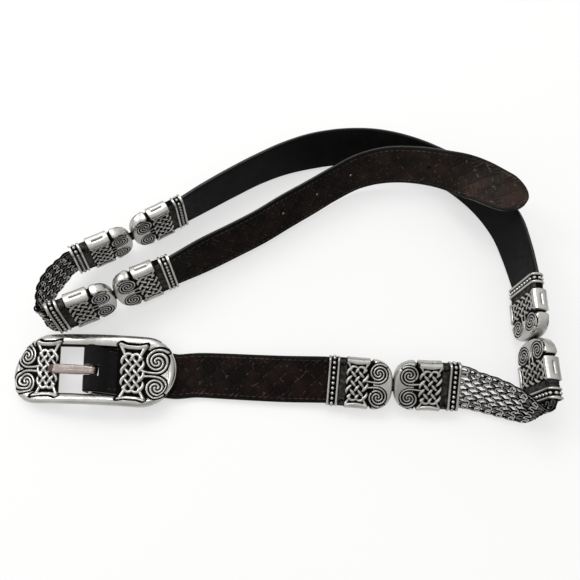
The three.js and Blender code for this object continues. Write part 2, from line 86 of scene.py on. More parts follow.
CAPS = [  # name, mouth x, y, z, heading, pitch, roll, face, first, holds
    ("cap_front_strap", 21.5, -57.3, 9.0, -5.4, 1.0, 24, 1, "mouth", "strap"),
    ("cap_right_chain_front", 88.4, -61.3, 11.2, -2.4, 0.6, 35, 1, "tip", "chain"),
    ("cap_right_chain_back", 130.8, -70.1, 15.3, 85.3, -0.9, 98, -1, "mouth", "chain"),
    ("cap_back_strap_right", 135.4, -3.0, 14.2, 84.3, -1.5, 96.5, -1, "tip", "strap"),
    ("cap_back_strap_left", -66.7, 47.4, 13.9, 214.0, 3.4, 89, -1, "mouth", "strap"),
    ("cap_left_chain_back", -123.6, 10.8, 18.4, 212.3, 7.6, 83.5, -1, "tip", "chain"),
    ("cap_left_chain_front", -128.9, -25.2, 18.9, 28.0, -7.0, 85, 1, "mouth", "chain"),
    ("cap_end_strap", -69.2, 5.5, 14.2, 27.7, -3.5, 80.4, 1, "tip", "strap"),
]
RIGHT_CHAIN = [
    (96.0, -63.2, 11.0, 46), (103.4, -65.4, 11.3, 50), (110.6, -68.2, 11.9, 56),
    (117.4, -71.6, 12.9, 65), (123.4, -75.0, 14.1, 76), (128.4, -76.2, 15.1, 88),
]
BACK_STRAP = [
    (134.8, 18.9, 13.1, 103), (131.5, 37.4, 13.0, 108), (122.3, 55.3, 13.0, 106),
    (109.7, 70.7, 13.0, 107), (93.9, 83.0, 13.0, 105), (75.9, 92.1, 13.0, 107),
    (56.4, 97.1, 13.0, 112), (36.5, 97.5, 13.0, 115), (16.4, 94.3, 13.0, 113),
    (-2.6, 88.1, 13.0, 104), (-20.5, 79.1, 13.0, 98), (-37.6, 68.3, 13.0, 96),
    (-54.1, 57.0, 13.0, 93),
]
LEFT_CHAIN = [
    (-129.2, 6.0, 18.2, 84), (-133.0, 0.6, 17.9, 87), (-136.4, -6.0, 17.6, 86),
    (-138.2, -13.0, 17.6, 82), (-137.6, -19.5, 17.8, 79), (-134.9, -25.0, 18.3, 80),
]
END_STRAP = [
    (-50.4, 17.0, 13.1, 71), (-33.9, 26.4, 13.3, 70), (-18.0, 36.1, 13.2, 69),
    (-2.7, 46.9, 13.3, 68), (12.7, 57.0, 13.6, 69), (27.9, 67.2, 14.0, 70),
    (43.8, 76.0, 15.0, 68), (61.2, 79.4, 17.0, 66), (80.4, 77.6, 19.1, 67),
    (98.6, 70.9, 22.3, 62), (113.9, 61.3, 26.0, 29), (125.9, 50.7, 29.4, 11),
    (139.0, 44.0, 29.6, 0),
]
FOLD_RADIUS = BAR_RADIUS + 1.5 * GAP + STRAP_THICK / 2
FLAP = [(33, 1.5), (24, 1.5), (15, 2.1), (7, 4.4)]  # distance from the bar and height
RUN_OUT = [(5, 11.1), (10, 8.4), (17, 6.2), (25, 4.9), (35, 4.7), (41, 3.6), (46, 2.7)]
FRONT_STRAP = [
    (-51.0, -52.7, 2.1, 1), (-36.0, -53.6, 3.3, 6), (-20.0, -54.7, 4.4, 10),
    (-4.0, -55.8, 6.0, 16), (10.0, -56.6, 8.0, 22),
]


print("caps", len(CAPS), "and stations", [len(s) for s in (RIGHT_CHAIN, BACK_STRAP, LEFT_CHAIN, END_STRAP)])


# %% Frames along a run
def unit(v):
    return v / np.linalg.norm(v, axis=-1, keepdims=True)


def turned(along, roll, side=None):
    """Across and outward directions for each forward direction and roll."""
    if side is None:
        level = np.stack([-along[..., 1], along[..., 0], 0 * along[..., 0]], -1)
    else:
        level = side - along * (along @ side)[..., None]
    level = unit(level)
    up = np.cross(along, level)
    angle = np.radians(roll)[..., None]
    across = level * np.cos(angle) + up * np.sin(angle)
    return across, np.cross(along, across)


def smooth_run(stations, step, side=None):
    """A smooth line through the stations, sampled about every step, with its directions."""
    points = np.array(stations, float)
    wide = np.vstack([2 * points[0] - points[1], points, 2 * points[-1] - points[-2]])
    places, slopes = [], []
    for i in range(len(points) - 1):
        p0, p1, p2, p3 = wide[i : i + 4]
        m1, m2 = (p2 - p0) / 2, (p3 - p1) / 2
        pieces = max(2, math.ceil(np.linalg.norm((p2 - p1)[:3]) / step))
        share = np.arange(pieces + (i == len(points) - 2)) / pieces
        t = share[:, None]
        places.append(
            (2 * t**3 - 3 * t**2 + 1) * p1 + (t**3 - 2 * t**2 + t) * m1
            + (3 * t**2 - 2 * t**3) * p2 + (t**3 - t**2) * m2
        )
        slopes.append(
            (6 * t**2 - 6 * t) * p1 + (3 * t**2 - 4 * t + 1) * m1
            + (6 * t - 6 * t**2) * p2 + (3 * t**2 - 2 * t) * m2
        )
    line, slope = np.vstack(places), np.vstack(slopes)
    along = unit(slope[:, :3])
    across, out = turned(along, line[:, 3], side)
    steps = np.linalg.norm(np.diff(line[:, :3], axis=0), axis=1)
    run = np.concatenate([[0], np.cumsum(steps)])
    return {"at": line[:, :3] + ORIGIN_SHIFT, "along": along, "across": across, "out": out, "run": run}


def at_runs(line, runs):
    """The line's frames at given distances along it."""
    picked = {"run": np.asarray(runs, float)}
    for key in ("at", "along", "across", "out"):
        picked[key] = np.stack([np.interp(runs, line["run"], line[key][:, k]) for k in range(3)], -1)
        if key != "at":
            picked[key] = unit(picked[key])
    return picked


caps = {}
for name, x, y, z, heading, pitch, roll, face, first, holds in CAPS:
    h, p = math.radians(heading), math.radians(pitch)
    along = np.array([math.cos(h) * math.cos(p), math.sin(h) * math.cos(p), math.sin(p)])
    across, out = turned(along, np.array(float(roll)))
    to_tip = along * (-1 if first == "tip" else 1)
    caps[name] = {
        "mouth": np.array([x, y, z], float), "to_tip": to_tip, "front": out * face,
        "roll": roll, "holds": holds,
    }


def seat(name, lead):
    """Stations just outside a cap's mouth, at the mouth and inside it."""
    cap = caps[name]
    return [(*(cap["mouth"] + cap["to_tip"] * d), cap["roll"]) for d in (-lead, 0, SEAT_DEPTH)]


print("caps", len(caps))

# %% [markdown]
# Cast metal, leather and rings all become one kind of mesh here: a front sheet and a back sheet of
# points on the same grid, joined by walls wherever a cell of the grid is missing. It could be done
# by sculpting or by booleans, but a grid keeps relief even, and gives clean holes and slots.

# %% A piece from points and faces
def face_arrays(faces):
    """The corner count of each face and all corners, from an array or a list of lists."""
    if isinstance(faces, list):
        return np.array([len(f) for f in faces]), np.concatenate([np.asarray(f) for f in faces])
    return np.full(len(faces), faces.shape[1]), faces.ravel()


def new_piece(name, points, faces, materials, replaced=(), body="root", layers=None,
              face_material=None, smooth_angle=50):
    """A mesh object in metres from points in millimetres, riding on a body."""
    mesh = bpy.data.meshes.new(name)
    points = np.asarray(points, float)
    mesh.vertices.add(len(points))
    mesh.vertices.foreach_set("co", (points * MM).astype(np.float32).ravel())
    sizes, corners = face_arrays(faces)
    mesh.loops.add(len(corners))
    mesh.loops.foreach_set("vertex_index", corners.astype(np.int32))
    mesh.polygons.add(len(sizes))
    starts = np.concatenate([[0], np.cumsum(sizes)[:-1]])
    mesh.polygons.foreach_set("loop_start", starts.astype(np.int32))
    mesh.polygons.foreach_set("loop_total", sizes.astype(np.int32))
    if face_material is not None:
        mesh.polygons.foreach_set("material_index", np.asarray(face_material, np.int32))
    for layer, values in (layers or {}).items():
        attribute = mesh.attributes.new(layer, "FLOAT", "POINT")
        attribute.data.foreach_set("value", np.asarray(values, np.float32).ravel())
    mesh.update(calc_edges=True)
    mesh.validate()
    mesh.polygons.foreach_set("use_smooth", np.ones(len(mesh.polygons), bool))
    mesh.set_sharp_from_angle(angle=math.radians(smooth_angle))
    for material in materials:
        mesh.materials.append(material)
    piece = bpy.data.objects.new(name, mesh)
    bpy.context.scene.collection.objects.link(piece)
    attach(piece, body)
    if replaced:
        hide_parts(*replaced)
    return piece


print("a piece is given in millimetres and made in metres, by", MM)

# %% Two sheets joined into one skin
def two_sheets(top, bottom, keep, layers=None):
    """Joins two sheets of points into a closed skin, with walls round every missing cell.

    Gives points, faces, the kind of each face (0 top, 1 bottom, 2 wall) and the point layers."""
    rows, columns = top.shape[:2]
    index = np.arange(rows * columns).reshape(rows, columns)
    under = index + rows * columns
    a, b, c, d = index[:-1, :-1], index[1:, :-1], index[1:, 1:], index[:-1, 1:]
    faces = [np.stack([a, b, c, d], -1)[keep]]
    kinds = [np.zeros(keep.sum(), int)]
    a, b, c, d = under[:-1, :-1], under[1:, :-1], under[1:, 1:], under[:-1, 1:]
    faces.append(np.stack([d, c, b, a], -1)[keep])
    kinds.append(np.ones(keep.sum(), int))
    full = np.pad(keep, 1)
    inner = full[1:-1, 1:-1]
    for shift, first, second in (
        ((0, -1), (0, 0), (1, 0)), ((0, 1), (1, 1), (0, 1)),
        ((-1, 0), (0, 1), (0, 0)), ((1, 0), (1, 0), (1, 1)),
    ):
        i0, j0 = 1 + shift[0], 1 + shift[1]
        beside = full[i0 : i0 + keep.shape[0], j0 : j0 + keep.shape[1]]
        i, j = np.nonzero(inner & ~beside)
        p = index[i + first[0], j + first[1]]
        q = index[i + second[0], j + second[1]]
        faces.append(np.stack([p, p + rows * columns, q + rows * columns, q], -1))
        kinds.append(np.full(len(i), 2))
    faces, kinds = np.vstack(faces), np.concatenate(kinds)
    points = np.vstack([top.reshape(-1, 3), bottom.reshape(-1, 3)])
    used, inverse = np.unique(faces, return_inverse=True)
    picked = {k: np.concatenate([v[0].ravel(), v[1].ravel()])[used] for k, v in (layers or {}).items()}
    return points[used], inverse.reshape(faces.shape), kinds, picked


flat = np.zeros((3, 3, 3))
print("a skin of two by two cells has", len(two_sheets(flat, flat, np.ones((2, 2), bool))[1]), "faces")

# %% Lofts, round strands and soft lines
def loft(rings):
    """Skins closed rings of points, each with the same count, and closes both ends."""
    rings = np.asarray(rings)
    count, around = rings.shape[:2]
    index = np.arange(count * around).reshape(count, around)
    nxt = np.roll(index, -1, axis=1)
    quads = np.stack([index[:-1], nxt[:-1], nxt[1:], index[1:]], -1).reshape(-1, 4)
    faces = [list(f) for f in quads] + [list(index[0][::-1]), list(index[-1])]
    return rings.reshape(-1, 3), faces


def stamp(rows, x, y, height, base, path, lift, radius):
    """Lays a round strand along a path on a height field: rows holds the x of each grid row."""
    reach = radius * 1.02
    for (px, py), up in zip(path, lift):
        i0, i1 = np.searchsorted(rows, [px - reach, px + reach])
        if i0 == i1:
            continue
        part = slice(i0, i1)
        square = (x[part] - px) ** 2 + (y[part] - py) ** 2
        inside = square < radius * radius
        level = base[part] + up - radius + np.sqrt(np.maximum(radius * radius - square, 0))
        height[part] = np.where(inside, np.maximum(height[part], level), height[part])


def walk(points, step=0.15):
    """Points spaced evenly along a line of straight pieces."""
    points = np.asarray(points, float)
    lengths = np.concatenate([[0], np.cumsum(np.linalg.norm(np.diff(points, axis=0), axis=1))])
    places = np.linspace(0, lengths[-1], max(2, int(lengths[-1] / step)))
    return np.stack([np.interp(places, lengths, points[:, k]) for k in range(2)], -1)


def rounded(points, turns=3):
    """Cuts the corners of a line of straight pieces again and again, until it is a soft curve."""
    points = np.asarray(points, float)
    for _ in range(turns):
        a, b = points[:-1], points[1:]
        middle = np.stack([a * 0.75 + b * 0.25, a * 0.25 + b * 0.75], 1).reshape(-1, 2)
        points = np.vstack([points[0], middle, points[-1]])
    return points


print("a corner rounded three times has", len(rounded([(0, 0), (1, 0), (1, 1)])), "points")

# %% [markdown]
# The same ornament is cast into every cap and twice into the buckle: six strands plaited across
# the piece, a flared loop at each end of the plait, and two double spirals. Real strands pass over
# and under each other, so each strand rises and dips along its own path. The order of over and
# under follows from where the four waves cross.

# %% Over and under
STRANDS = 6
CROSS_AT = np.radians([0, 30, 60, 120, 150, 180, 210, 240, 300, 330, 360])  # crossings along one wave
CROSS_UP = np.array([1, -1, 1, -1, 1, -1, 1, -1, 1, -1, 1.0])


def over_under(phase):
    """1 where a strand passes over and -1 where it passes under."""
    turn = np.mod(phase, 2 * math.pi)
    i = np.clip(np.searchsorted(CROSS_AT, turn, side="right") - 1, 0, len(CROSS_AT) - 2)
    share = (turn - CROSS_AT[i]) / (CROSS_AT[i + 1] - CROSS_AT[i])
    blend = 0.5 - 0.5 * np.cos(math.pi * share)
    return CROSS_UP[i] * (1 - blend) + CROSS_UP[i + 1] * blend


print("at its turn a strand is", over_under(0.0), "and a twelfth on it is", over_under(math.pi / 6))

# %% The ornament, stamped on a face
def ornament(rows, x, y, height, base, shape, grow=0.0):
    """Stamps one whole ornament; shape holds its sizes, and grow thickens every strand."""
    middle, swing, turn_at = shape["middle"], shape["swing"], shape["turn_at"]
    radius, ridge = shape["strand"] + grow, shape["ridge"] + grow
    lift, wave = shape["lift"], shape["wave"]
    flare, reach, sideways = shape["flare"], shape["reach"], shape["side"]
    spiral_at, far, pitch = shape["spiral_at"], shape["spiral_radius"], shape["pitch"]

    def lay(path, level, thickness):
        path = np.asarray(path)
        stamp(rows, x, y, height, base, path, np.broadcast_to(level, len(path)), thickness)

    last = 1.5 * turn_at
    for k in range(STRANDS):
        w = np.arange(-last, last + 0.06, 0.12)
        phase = 2 * math.pi / STRANDS * (w / turn_at + k + 0.5)
        u = middle + swing * (np.sin(phase) - 0.1 * np.sin(3 * phase)) / 1.1
        lay(np.stack([u, w], -1), lift + wave * over_under(phase), radius)
    bow = np.linspace(0, math.pi, 50)
    third = swing * 0.67
    for side in (1, -1):
        for half in (1, -1):
            arch_u = middle + half * third / 2 * (1 + np.cos(bow))
            arch_w = side * (last + shape["arch"] * np.sin(bow) ** 0.8)
            lay(np.stack([arch_u, arch_w], -1), lift + wave * (0.4 + 0.4 * np.cos(bow)), radius)
            corner = np.array([middle + half * flare, side * reach])
            foot = np.array([middle + half * third, side * last])
            leg = walk(rounded([corner, corner * 0.45 + foot * 0.55 - [half * 0.4, 0], foot]))
            lay(leg, lift + wave * np.linspace(1.2, -0.4, len(leg)), radius)
            low = side * (reach - shape["sag"])
            head = walk(rounded([corner, [middle + half * flare * 0.5, low], [middle, low]]))
            lay(head, lift + wave, radius * 1.05)
        centre = np.array([spiral_at, side * sideways])
        for arm in (0, 1):
            r = np.arange(pitch * 0.35, far + (0.25 * pitch if arm else 0), 0.02)
            angle = -side * math.pi / 2 + math.pi * arm - side * math.pi * (r - far) / pitch
            coil = centre + np.stack([r * np.cos(angle), r * np.sin(angle)], -1)
            lay(walk(coil), lift + 0.1, ridge)
        lead = rounded([
            (middle + swing * 0.62, side * turn_at * 0.42),
            (middle + swing * 1.0, side * (sideways - far) * 1.25),
            (spiral_at - far * 0.45, side * (sideways - far * 1.02)),
            (spiral_at + 0.3, side * (sideways - far)),
        ])
        lay(walk(lead), lift + 0.1, ridge)


print("a plait of", STRANDS, "strands, two loops and four spiral arms")

# %% [markdown]
# Old silver has a bright polished top and near-black tarnish in every recess. It could be painted
# by hand, but here each cast mesh carries a layer named relief, which is 0 in a recess and 1 on
# the ridges. A node group turns it into colour and roughness, and a second group scratches the
# surface. Both groups serve the castings, the rings and the prong.

# %% Node helpers
def group(name, inputs, outputs):
    """A node group with named sockets, and the nodes that hold its inputs and outputs."""
    tree = bpy.data.node_groups.new(name, "ShaderNodeTree")
    for label, kind, value in inputs:
        socket = tree.interface.new_socket(label, in_out="INPUT", socket_type=kind)
        socket.default_value = value
    for label, kind in outputs:
        tree.interface.new_socket(label, in_out="OUTPUT", socket_type=kind)
    return tree, tree.nodes.new("NodeGroupInput"), tree.nodes.new("NodeGroupOutput")


def node(tree, kind, settings=None, **links):
    """Adds a node; settings are its own properties and links its input sockets or values."""
    made = tree.nodes.new(kind)
    for key, value in (settings or {}).items():
        setattr(made, key, value)
    for key, value in links.items():
        socket = made.inputs[int(key[1:])] if key[1:].isdigit() else made.inputs[key.replace("_", " ")]
        if isinstance(value, bpy.types.NodeSocket):
            tree.links.new(value, socket)
        else:
            socket.default_value = value
    return made


def maths(tree, kind, *values):
    """One sum on sockets or numbers."""
    links = {f"_{i}": v for i, v in enumerate(values)}
    return node(tree, "ShaderNodeMath", {"operation": kind}, **links).outputs[0]


def ranged(tree, value, low, high, to_low=0.0, to_high=1.0, soft=False):
    """Turns low to high into to_low to to_high, with soft ends if asked."""
    settings = {"interpolation_type": "SMOOTHSTEP"} if soft else None
    return node(tree, "ShaderNodeMapRange", settings, _0=value, _1=low, _2=high,
                _3=to_low, _4=to_high).outputs[0]


def noise(tree, place, scale, detail=2.0, distortion=0.0):
    """Cloudy noise, about 0.5 on the whole."""
    return node(tree, "ShaderNodeTexNoise", Vector=place, Scale=scale, Detail=detail,
                Distortion=distortion).outputs["Fac"]


def mixed(tree, share, first, second, blend="MIX"):
    """The first colour where share is 0 and the second where it is 1."""
    return node(tree, "ShaderNodeMix", {"data_type": "RGBA", "blend_type": blend},
                _0=share, _6=first, _7=second).outputs[2]


def own_place(tree):
    """Coordinates that stay with the object."""
    return node(tree, "ShaderNodeTexCoord").outputs["Object"]


def new_material(name):
    """A material, its node tree and its shader."""
    material = bpy.data.materials.new(name)
    material.use_nodes = True
    return material, material.node_tree, material.node_tree.nodes["Principled BSDF"]


HELPERS = (group, node, maths, ranged, noise, mixed, own_place, new_material)
print("helpers", [helper.__name__ for helper in HELPERS])

# %% Tarnish and scratches
def tarnish_group():
    """Bright metal on ridges and tarnish in recesses, with a cloudy border between the two."""
    tree, given, result = group(
        "tarnish",
        [("Relief", "NodeSocketFloat", 1), ("Bright", "NodeSocketColor", (0.6, 0.59, 0.57, 1)),
         ("Dark", "NodeSocketColor", (0.02, 0.018, 0.016, 1)), ("Reach", "NodeSocketFloat", 0.5)],
        [("Color", "NodeSocketColor"), ("Roughness", "NodeSocketFloat")],
    )
    place = own_place(tree)
    cloud = noise(tree, place, 420.0, 4.0)
    shifted = maths(tree, "MULTIPLY_ADD", cloud, 0.3, given.outputs["Relief"])
    lowered = maths(tree, "SUBTRACT", shifted, given.outputs["Reach"])
    shine = ranged(tree, lowered, -0.3, 0.3, soft=True)
    metal = mixed(tree, shine, given.outputs["Dark"], given.outputs["Bright"])
    dull = ranged(tree, noise(tree, place, 95.0, 3.0), 0.35, 0.75, 0.72, 1.06)
    shade = node(tree, "ShaderNodeCombineColor", _0=dull, _1=dull, _2=dull).outputs[0]
    rough = ranged(tree, shine, 0.0, 1.0, 0.62, 0.2)
    tree.links.new(mixed(tree, 1.0, metal, shade, "MULTIPLY"), result.inputs["Color"])
    tree.links.new(maths(tree, "MULTIPLY_ADD", cloud, 0.14, rough), result.inputs["Roughness"])
    return tree


def scratch_group():
    """Height of scratches in two directions, fine pits and a shallow swell."""
    tree, given, result = group(
        "fine_scratches",
        [("Scale", "NodeSocketFloat", 900.0), ("Depth", "NodeSocketFloat", 1.0)],
        [("Height", "NodeSocketFloat")],
    )
    place = own_place(tree)
    cuts = []
    for turn in (0.5, 1.9):
        laid = node(tree, "ShaderNodeMapping", Vector=place, Rotation=(0.3, 0.2, turn),
                    Scale=(0.06, 1.0, 1.0))
        cuts.append(ranged(tree, noise(tree, laid.outputs[0], given.outputs["Scale"]), 0.3, 0.42))
    scratched = maths(tree, "MULTIPLY", *cuts)
    pitted = maths(tree, "MULTIPLY_ADD", noise(tree, place, 640.0, 3.0), 0.8, scratched)
    both = maths(tree, "MULTIPLY_ADD", noise(tree, place, 170.0, 1.0), 9.0, pitted)
    tree.links.new(maths(tree, "MULTIPLY", both, given.outputs["Depth"]), result.inputs["Height"])
    return tree


TARNISH, SCRATCHES = tarnish_group(), scratch_group()
print("node groups", TARNISH.name, SCRATCHES.name)


# %% The three metals
SCRATCH_SCALE = 900.0


def silver(name, bright, dark, reach, scratch_depth=1.0):
    """A metal whose ridges are bright and recesses dark, from the mesh's relief layer."""
    material, tree, shader = new_material(name)
    shader.inputs["Metallic"].default_value = 1.0
    relief = node(tree, "ShaderNodeAttribute", {"attribute_name": "relief"}).outputs["Fac"]
    tarnish = node(tree, "ShaderNodeGroup", {"node_tree": TARNISH}, Relief=relief,
                   Bright=(*bright, 1), Dark=(*dark, 1), Reach=reach)
    scratches = node(tree, "ShaderNodeGroup", {"node_tree": SCRATCHES}, Scale=SCRATCH_SCALE,
                     Depth=scratch_depth)
    bump = node(tree, "ShaderNodeBump", Strength=0.35, Distance=0.00006,
                Height=scratches.outputs["Height"])
    tree.links.new(tarnish.outputs["Color"], shader.inputs["Base Color"])
    tree.links.new(tarnish.outputs["Roughness"], shader.inputs["Roughness"])
    tree.links.new(bump.outputs["Normal"], shader.inputs["Normal"])
    return material


cast_silver = silver("cast_silver", (0.49, 0.48, 0.458), (0.004, 0.0036, 0.0033), 0.62)
ring_silver = silver("ring_silver", (0.6, 0.585, 0.56), (0.004, 0.0038, 0.0036), 0.8)
prong_silver = silver("prong_silver", (0.29, 0.248, 0.235), (0.11, 0.085, 0.075), 0.62, 1.6)
print("metals", [m.name for m in (cast_silver, ring_silver, prong_silver)])

# %% [markdown]
# A cap is a flat hollow casting that grips a strap's end. Its outline has straight sides with a
# polished pillow on each edge, and a round tip. It is lofted here from the mouth to the tip: each
# cross-section runs over the front face, round the edge, over the back face and round the other
# edge, so the face carries the relief and the edge keeps its own round profile.

# %% Cap face
CAP_HALF = 13.4
CAP_REACH = 33.5
CAP_END = 11.3
CAP_BLUNT = 2.5  # 2 would be an ellipse; more gives the round end fuller shoulders
CAP_LIP = -1.25
CAP_RECESS = 3.1
RAILS_AT, RAIL_RADIUS, RAIL_HEIGHT = (-0.6, 4.05), 0.68, 0.95
BEAD_AT, BEAD_RADIUS, BEAD_PITCH = 1.7, 0.98, 2.72
BAND = (4.9, 8.6)  # the bare band behind the second rail, from and to
PILLOW_FROM, PILLOW_MIDDLE, PILLOW_TO = 8.2, 14.7, 21.1
PILLOW_HEIGHT = 1.05
BAND_SHINE = 0.27
DOT_AT, DOT_RADIUS, DOT_WIRE = (6.7, 10.0), 0.85, 0.3  # a small ring near each edge of the band
ORNAMENT_CAP = {
    "middle": 14.4, "swing": 5.5, "strand": 0.77, "lift": 0.56, "wave": 0.34, "turn_at": 4.9, "arch": 1.6,
    "flare": 6.4, "reach": 12.6, "sag": 1.0, "spiral_at": 25.6, "side": 6.35, "spiral_radius": 5.0,
    "pitch": 1.68, "ridge": 0.46,
}


def hump(value, low, high, soft=0.4):
    """1 between low and high, falling softly to 0 outside."""
    rise = np.clip((value - low) / soft + 0.5, 0, 1)
    fall = np.clip((high - value) / soft + 0.5, 0, 1)
    both = np.minimum(rise, fall)
    return both * both * (3 - 2 * both)


def end_share(u, y):
    """0 in the middle of the round end and 1 on its outline."""
    past = np.maximum(u - (CAP_REACH - CAP_END), 0) / CAP_END
    return (past**CAP_BLUNT + (np.abs(y) / CAP_HALF) ** CAP_BLUNT) ** (1 / CAP_BLUNT)


def cap_face(rows, u, y):
    """Height of the cap's face and its relief layer, on a grid of u along and y across."""
    base = np.full(u.shape, CAP_RECESS)
    height = base.copy()
    close = np.full(u.shape, -9.0)
    ornament(rows, u, y, close, base * 0, ORNAMENT_CAP, 0.5)
    plain = (close < -1) * hump(u, ORNAMENT_CAP["spiral_at"] - 2.5, 90, 0.6)
    height = height + 0.7 * plain
    for centre in RAILS_AT:
        d = np.abs(u - centre) / RAIL_RADIUS
        height = np.maximum(height, CAP_RECESS + RAIL_HEIGHT * np.sqrt(np.maximum(1 - d**2, 0)))
    for side in (1, -1):
        ring = np.abs(np.hypot(u - DOT_AT[0], y - side * DOT_AT[1]) - DOT_RADIUS) / DOT_WIRE
        height = np.maximum(height, CAP_RECESS + DOT_WIRE * np.sqrt(np.maximum(1 - ring**2, 0)))
    ornament(rows, u, y, height, base, ORNAMENT_CAP)
    border = 10.2 + 0.032 * (u - PILLOW_MIDDLE) ** 2
    pillow = hump(u, PILLOW_FROM, PILLOW_TO, 1.0) * hump(np.abs(y), border, 20, 1.1)
    height = np.maximum(height, CAP_RECESS + PILLOW_HEIGHT * pillow)
    relief = np.clip((height - CAP_RECESS - 0.22) / 0.56, 0, 1)
    band = hump(u, *BAND, 0.5) * (height < CAP_RECESS + 0.05)
    return height, np.maximum(relief, BAND_SHINE * band)


print("cap", CAP_REACH - CAP_LIP, "mm long and", 2 * CAP_HALF, "mm wide")


# %% One bead of the collar
def bead(centre, radius):
    """Points and faces of one small round bead."""
    tilt = np.linspace(0.15, math.pi - 0.15, 7)
    spin = np.linspace(0, 2 * math.pi, 12, endpoint=False)
    circle = np.stack([np.cos(spin), np.sin(spin), 0 * spin], -1)
    rings = [circle * math.sin(t) + np.array([0, 0, math.cos(t)]) for t in tilt]
    points, faces = loft(rings[::-1])
    return points * radius + centre, faces


print("one bead has", len(bead(np.zeros(3), BEAD_RADIUS)[1]), "faces")

# %% Cross-sections of a cap
CAP_STEP, CAP_TIP_ROWS, CAP_COLUMNS = 0.29, 64, 79  # how fine the mesh of a cap is
POCKET_DEPTH = SEAT_DEPTH + 0.6
POCKETS = {"strap": (25.6, 3.4), "chain": (24.6, 4.2)}  # width and height of the pocket
SLIT = (11.4, 18.2)  # the cut in the edge of each pillow, from and to


def cap_sections(inner_width, inner_thick):
    """Rings of points from the bottom of the pocket, out of the mouth and on to the tip."""
    straight = np.arange(CAP_LIP, CAP_REACH - CAP_END, CAP_STEP)
    bend = np.linspace(0, math.radians(88.5), CAP_TIP_ROWS)
    power = 2 / CAP_BLUNT
    rows = np.concatenate([straight, CAP_REACH - CAP_END + CAP_END * np.sin(bend) ** power])
    past = np.maximum(rows - CAP_REACH + CAP_END, 0) / CAP_END
    outline = CAP_HALF * np.maximum(1 - past**CAP_BLUNT, 1e-4) ** (1 / CAP_BLUNT)
    rail = np.maximum(hump(rows, CAP_LIP - 1, 0.05, 0.3), hump(rows, 3.45, 4.65, 0.3))
    pillow = hump(rows, 8.5, 20.9, 0.7)
    groove = hump(rows, 4.7, 8.3, 0.5) * 0.6 + hump(rows, 20.9, 22.2, 0.45) * 1.2
    outline = outline + 0.06 * rail - groove + pillow * (0.1 + 0.007 * (rows - PILLOW_MIDDLE) ** 2)
    bead_row = hump(rows, 0.2, 3.3, 0.3)
    outline = outline - 0.45 * bead_row
    round_by = 2.7 - 0.7 * pillow - 2.0 * np.clip((rows - 21.5) / 1.2, 0, 1)
    round_by = np.minimum(round_by, outline * 0.4)
    flat_half = outline - round_by
    v = np.linspace(-1, 1, CAP_COLUMNS)
    u = np.repeat(rows[:, None], len(v), 1)
    y = flat_half[:, None] * v
    height, relief = cap_face(rows, u, y)
    share = end_share(u, y)
    fall = np.clip((share - 0.86) / 0.14, 0, 1) * (u > CAP_REACH - CAP_END)
    height = height * np.maximum(1 - fall**2.6, 0.05) ** (1 / 2.6)
    turn = np.radians([10, 21, 32, 43, 54, 66, 77, 87])
    quarter_out, quarter_down = np.sin(turn) ** 0.9, np.cos(turn) ** 0.9
    slit = hump(rows, *SLIT, 0.5)[:, None]

    def edge(side):
        """Points from the face's border round to just before the middle, on one side."""
        border = height[:, -1] if side > 0 else height[:, 0]
        out = flat_half[:, None] + round_by[:, None] * quarter_out
        down = border[:, None] * quarter_down
        out = out - 0.3 * slit * (down < 0.5)
        return np.stack([np.repeat(rows[:, None], len(turn), 1), side * out, down], -1)

    front = np.stack([u, y, height], -1)
    right, left = edge(1), edge(-1)
    middle_out = (outline - 0.9 * slit[:, 0])[:, None]
    right_mid = np.stack([rows[:, None], middle_out, 0 * middle_out], -1)
    left_mid = np.stack([rows[:, None], -middle_out, 0 * middle_out], -1)
    flip = np.array([1, 1, -1])
    rings = np.concatenate(
        [front, right, right_mid, right[:, ::-1] * flip, front[:, ::-1] * flip,
         left * flip, left_mid, left[:, ::-1]], axis=1)
    side_relief = pillow + rail + hump(rows, 22.4, 90, 0.4) + BAND_SHINE * hump(rows, 4.9, 8.2, 0.4)
    side_relief = np.clip(side_relief, 0, 1)[:, None]
    edge_relief = np.repeat(side_relief, len(turn), 1)
    slit_relief = side_relief * (1 - slit)
    relief_ring = np.concatenate(
        [relief, edge_relief, slit_relief, edge_relief,
         relief[:, ::-1], edge_relief, slit_relief, edge_relief], axis=1)
    first = rings[0]
    inner = first.copy()
    inner[:, 1] = np.clip(first[:, 1], -inner_width / 2, inner_width / 2)
    inner[:, 2] = np.clip(first[:, 2] * 9, -inner_thick / 2, inner_thick / 2)
    deep = inner.copy()
    deep[:, 0] = POCKET_DEPTH
    rings = np.concatenate([[deep], [inner], rings])
    relief_ring = np.concatenate([[relief_ring[0] * 0], [relief_ring[0] * 0.2], relief_ring])
    return rings, relief_ring, bead_belt(rings)


def bead_belt(rings):
    """Centres of the beads, evenly round the cap's collar."""
    ring = rings[np.argmin(np.abs(rings[2:, 0, 0] - BEAD_AT)) + 2][:, 1:]
    closed = np.vstack([ring, ring[:1]])
    steps = np.linalg.norm(np.diff(closed, axis=0), axis=1)
    run = np.concatenate([[0], np.cumsum(steps)])
    count = round(run[-1] / BEAD_PITCH)
    at = (np.arange(count) + 0.5) * run[-1] / count
    return [(BEAD_AT, *(np.interp(t, run, closed[:, k]) for k in (0, 1))) for t in at]


CAP_MESH = {kind: cap_sections(*pocket) for kind, pocket in POCKETS.items()}
print("a section has", CAP_MESH["strap"][0].shape[1], "points")

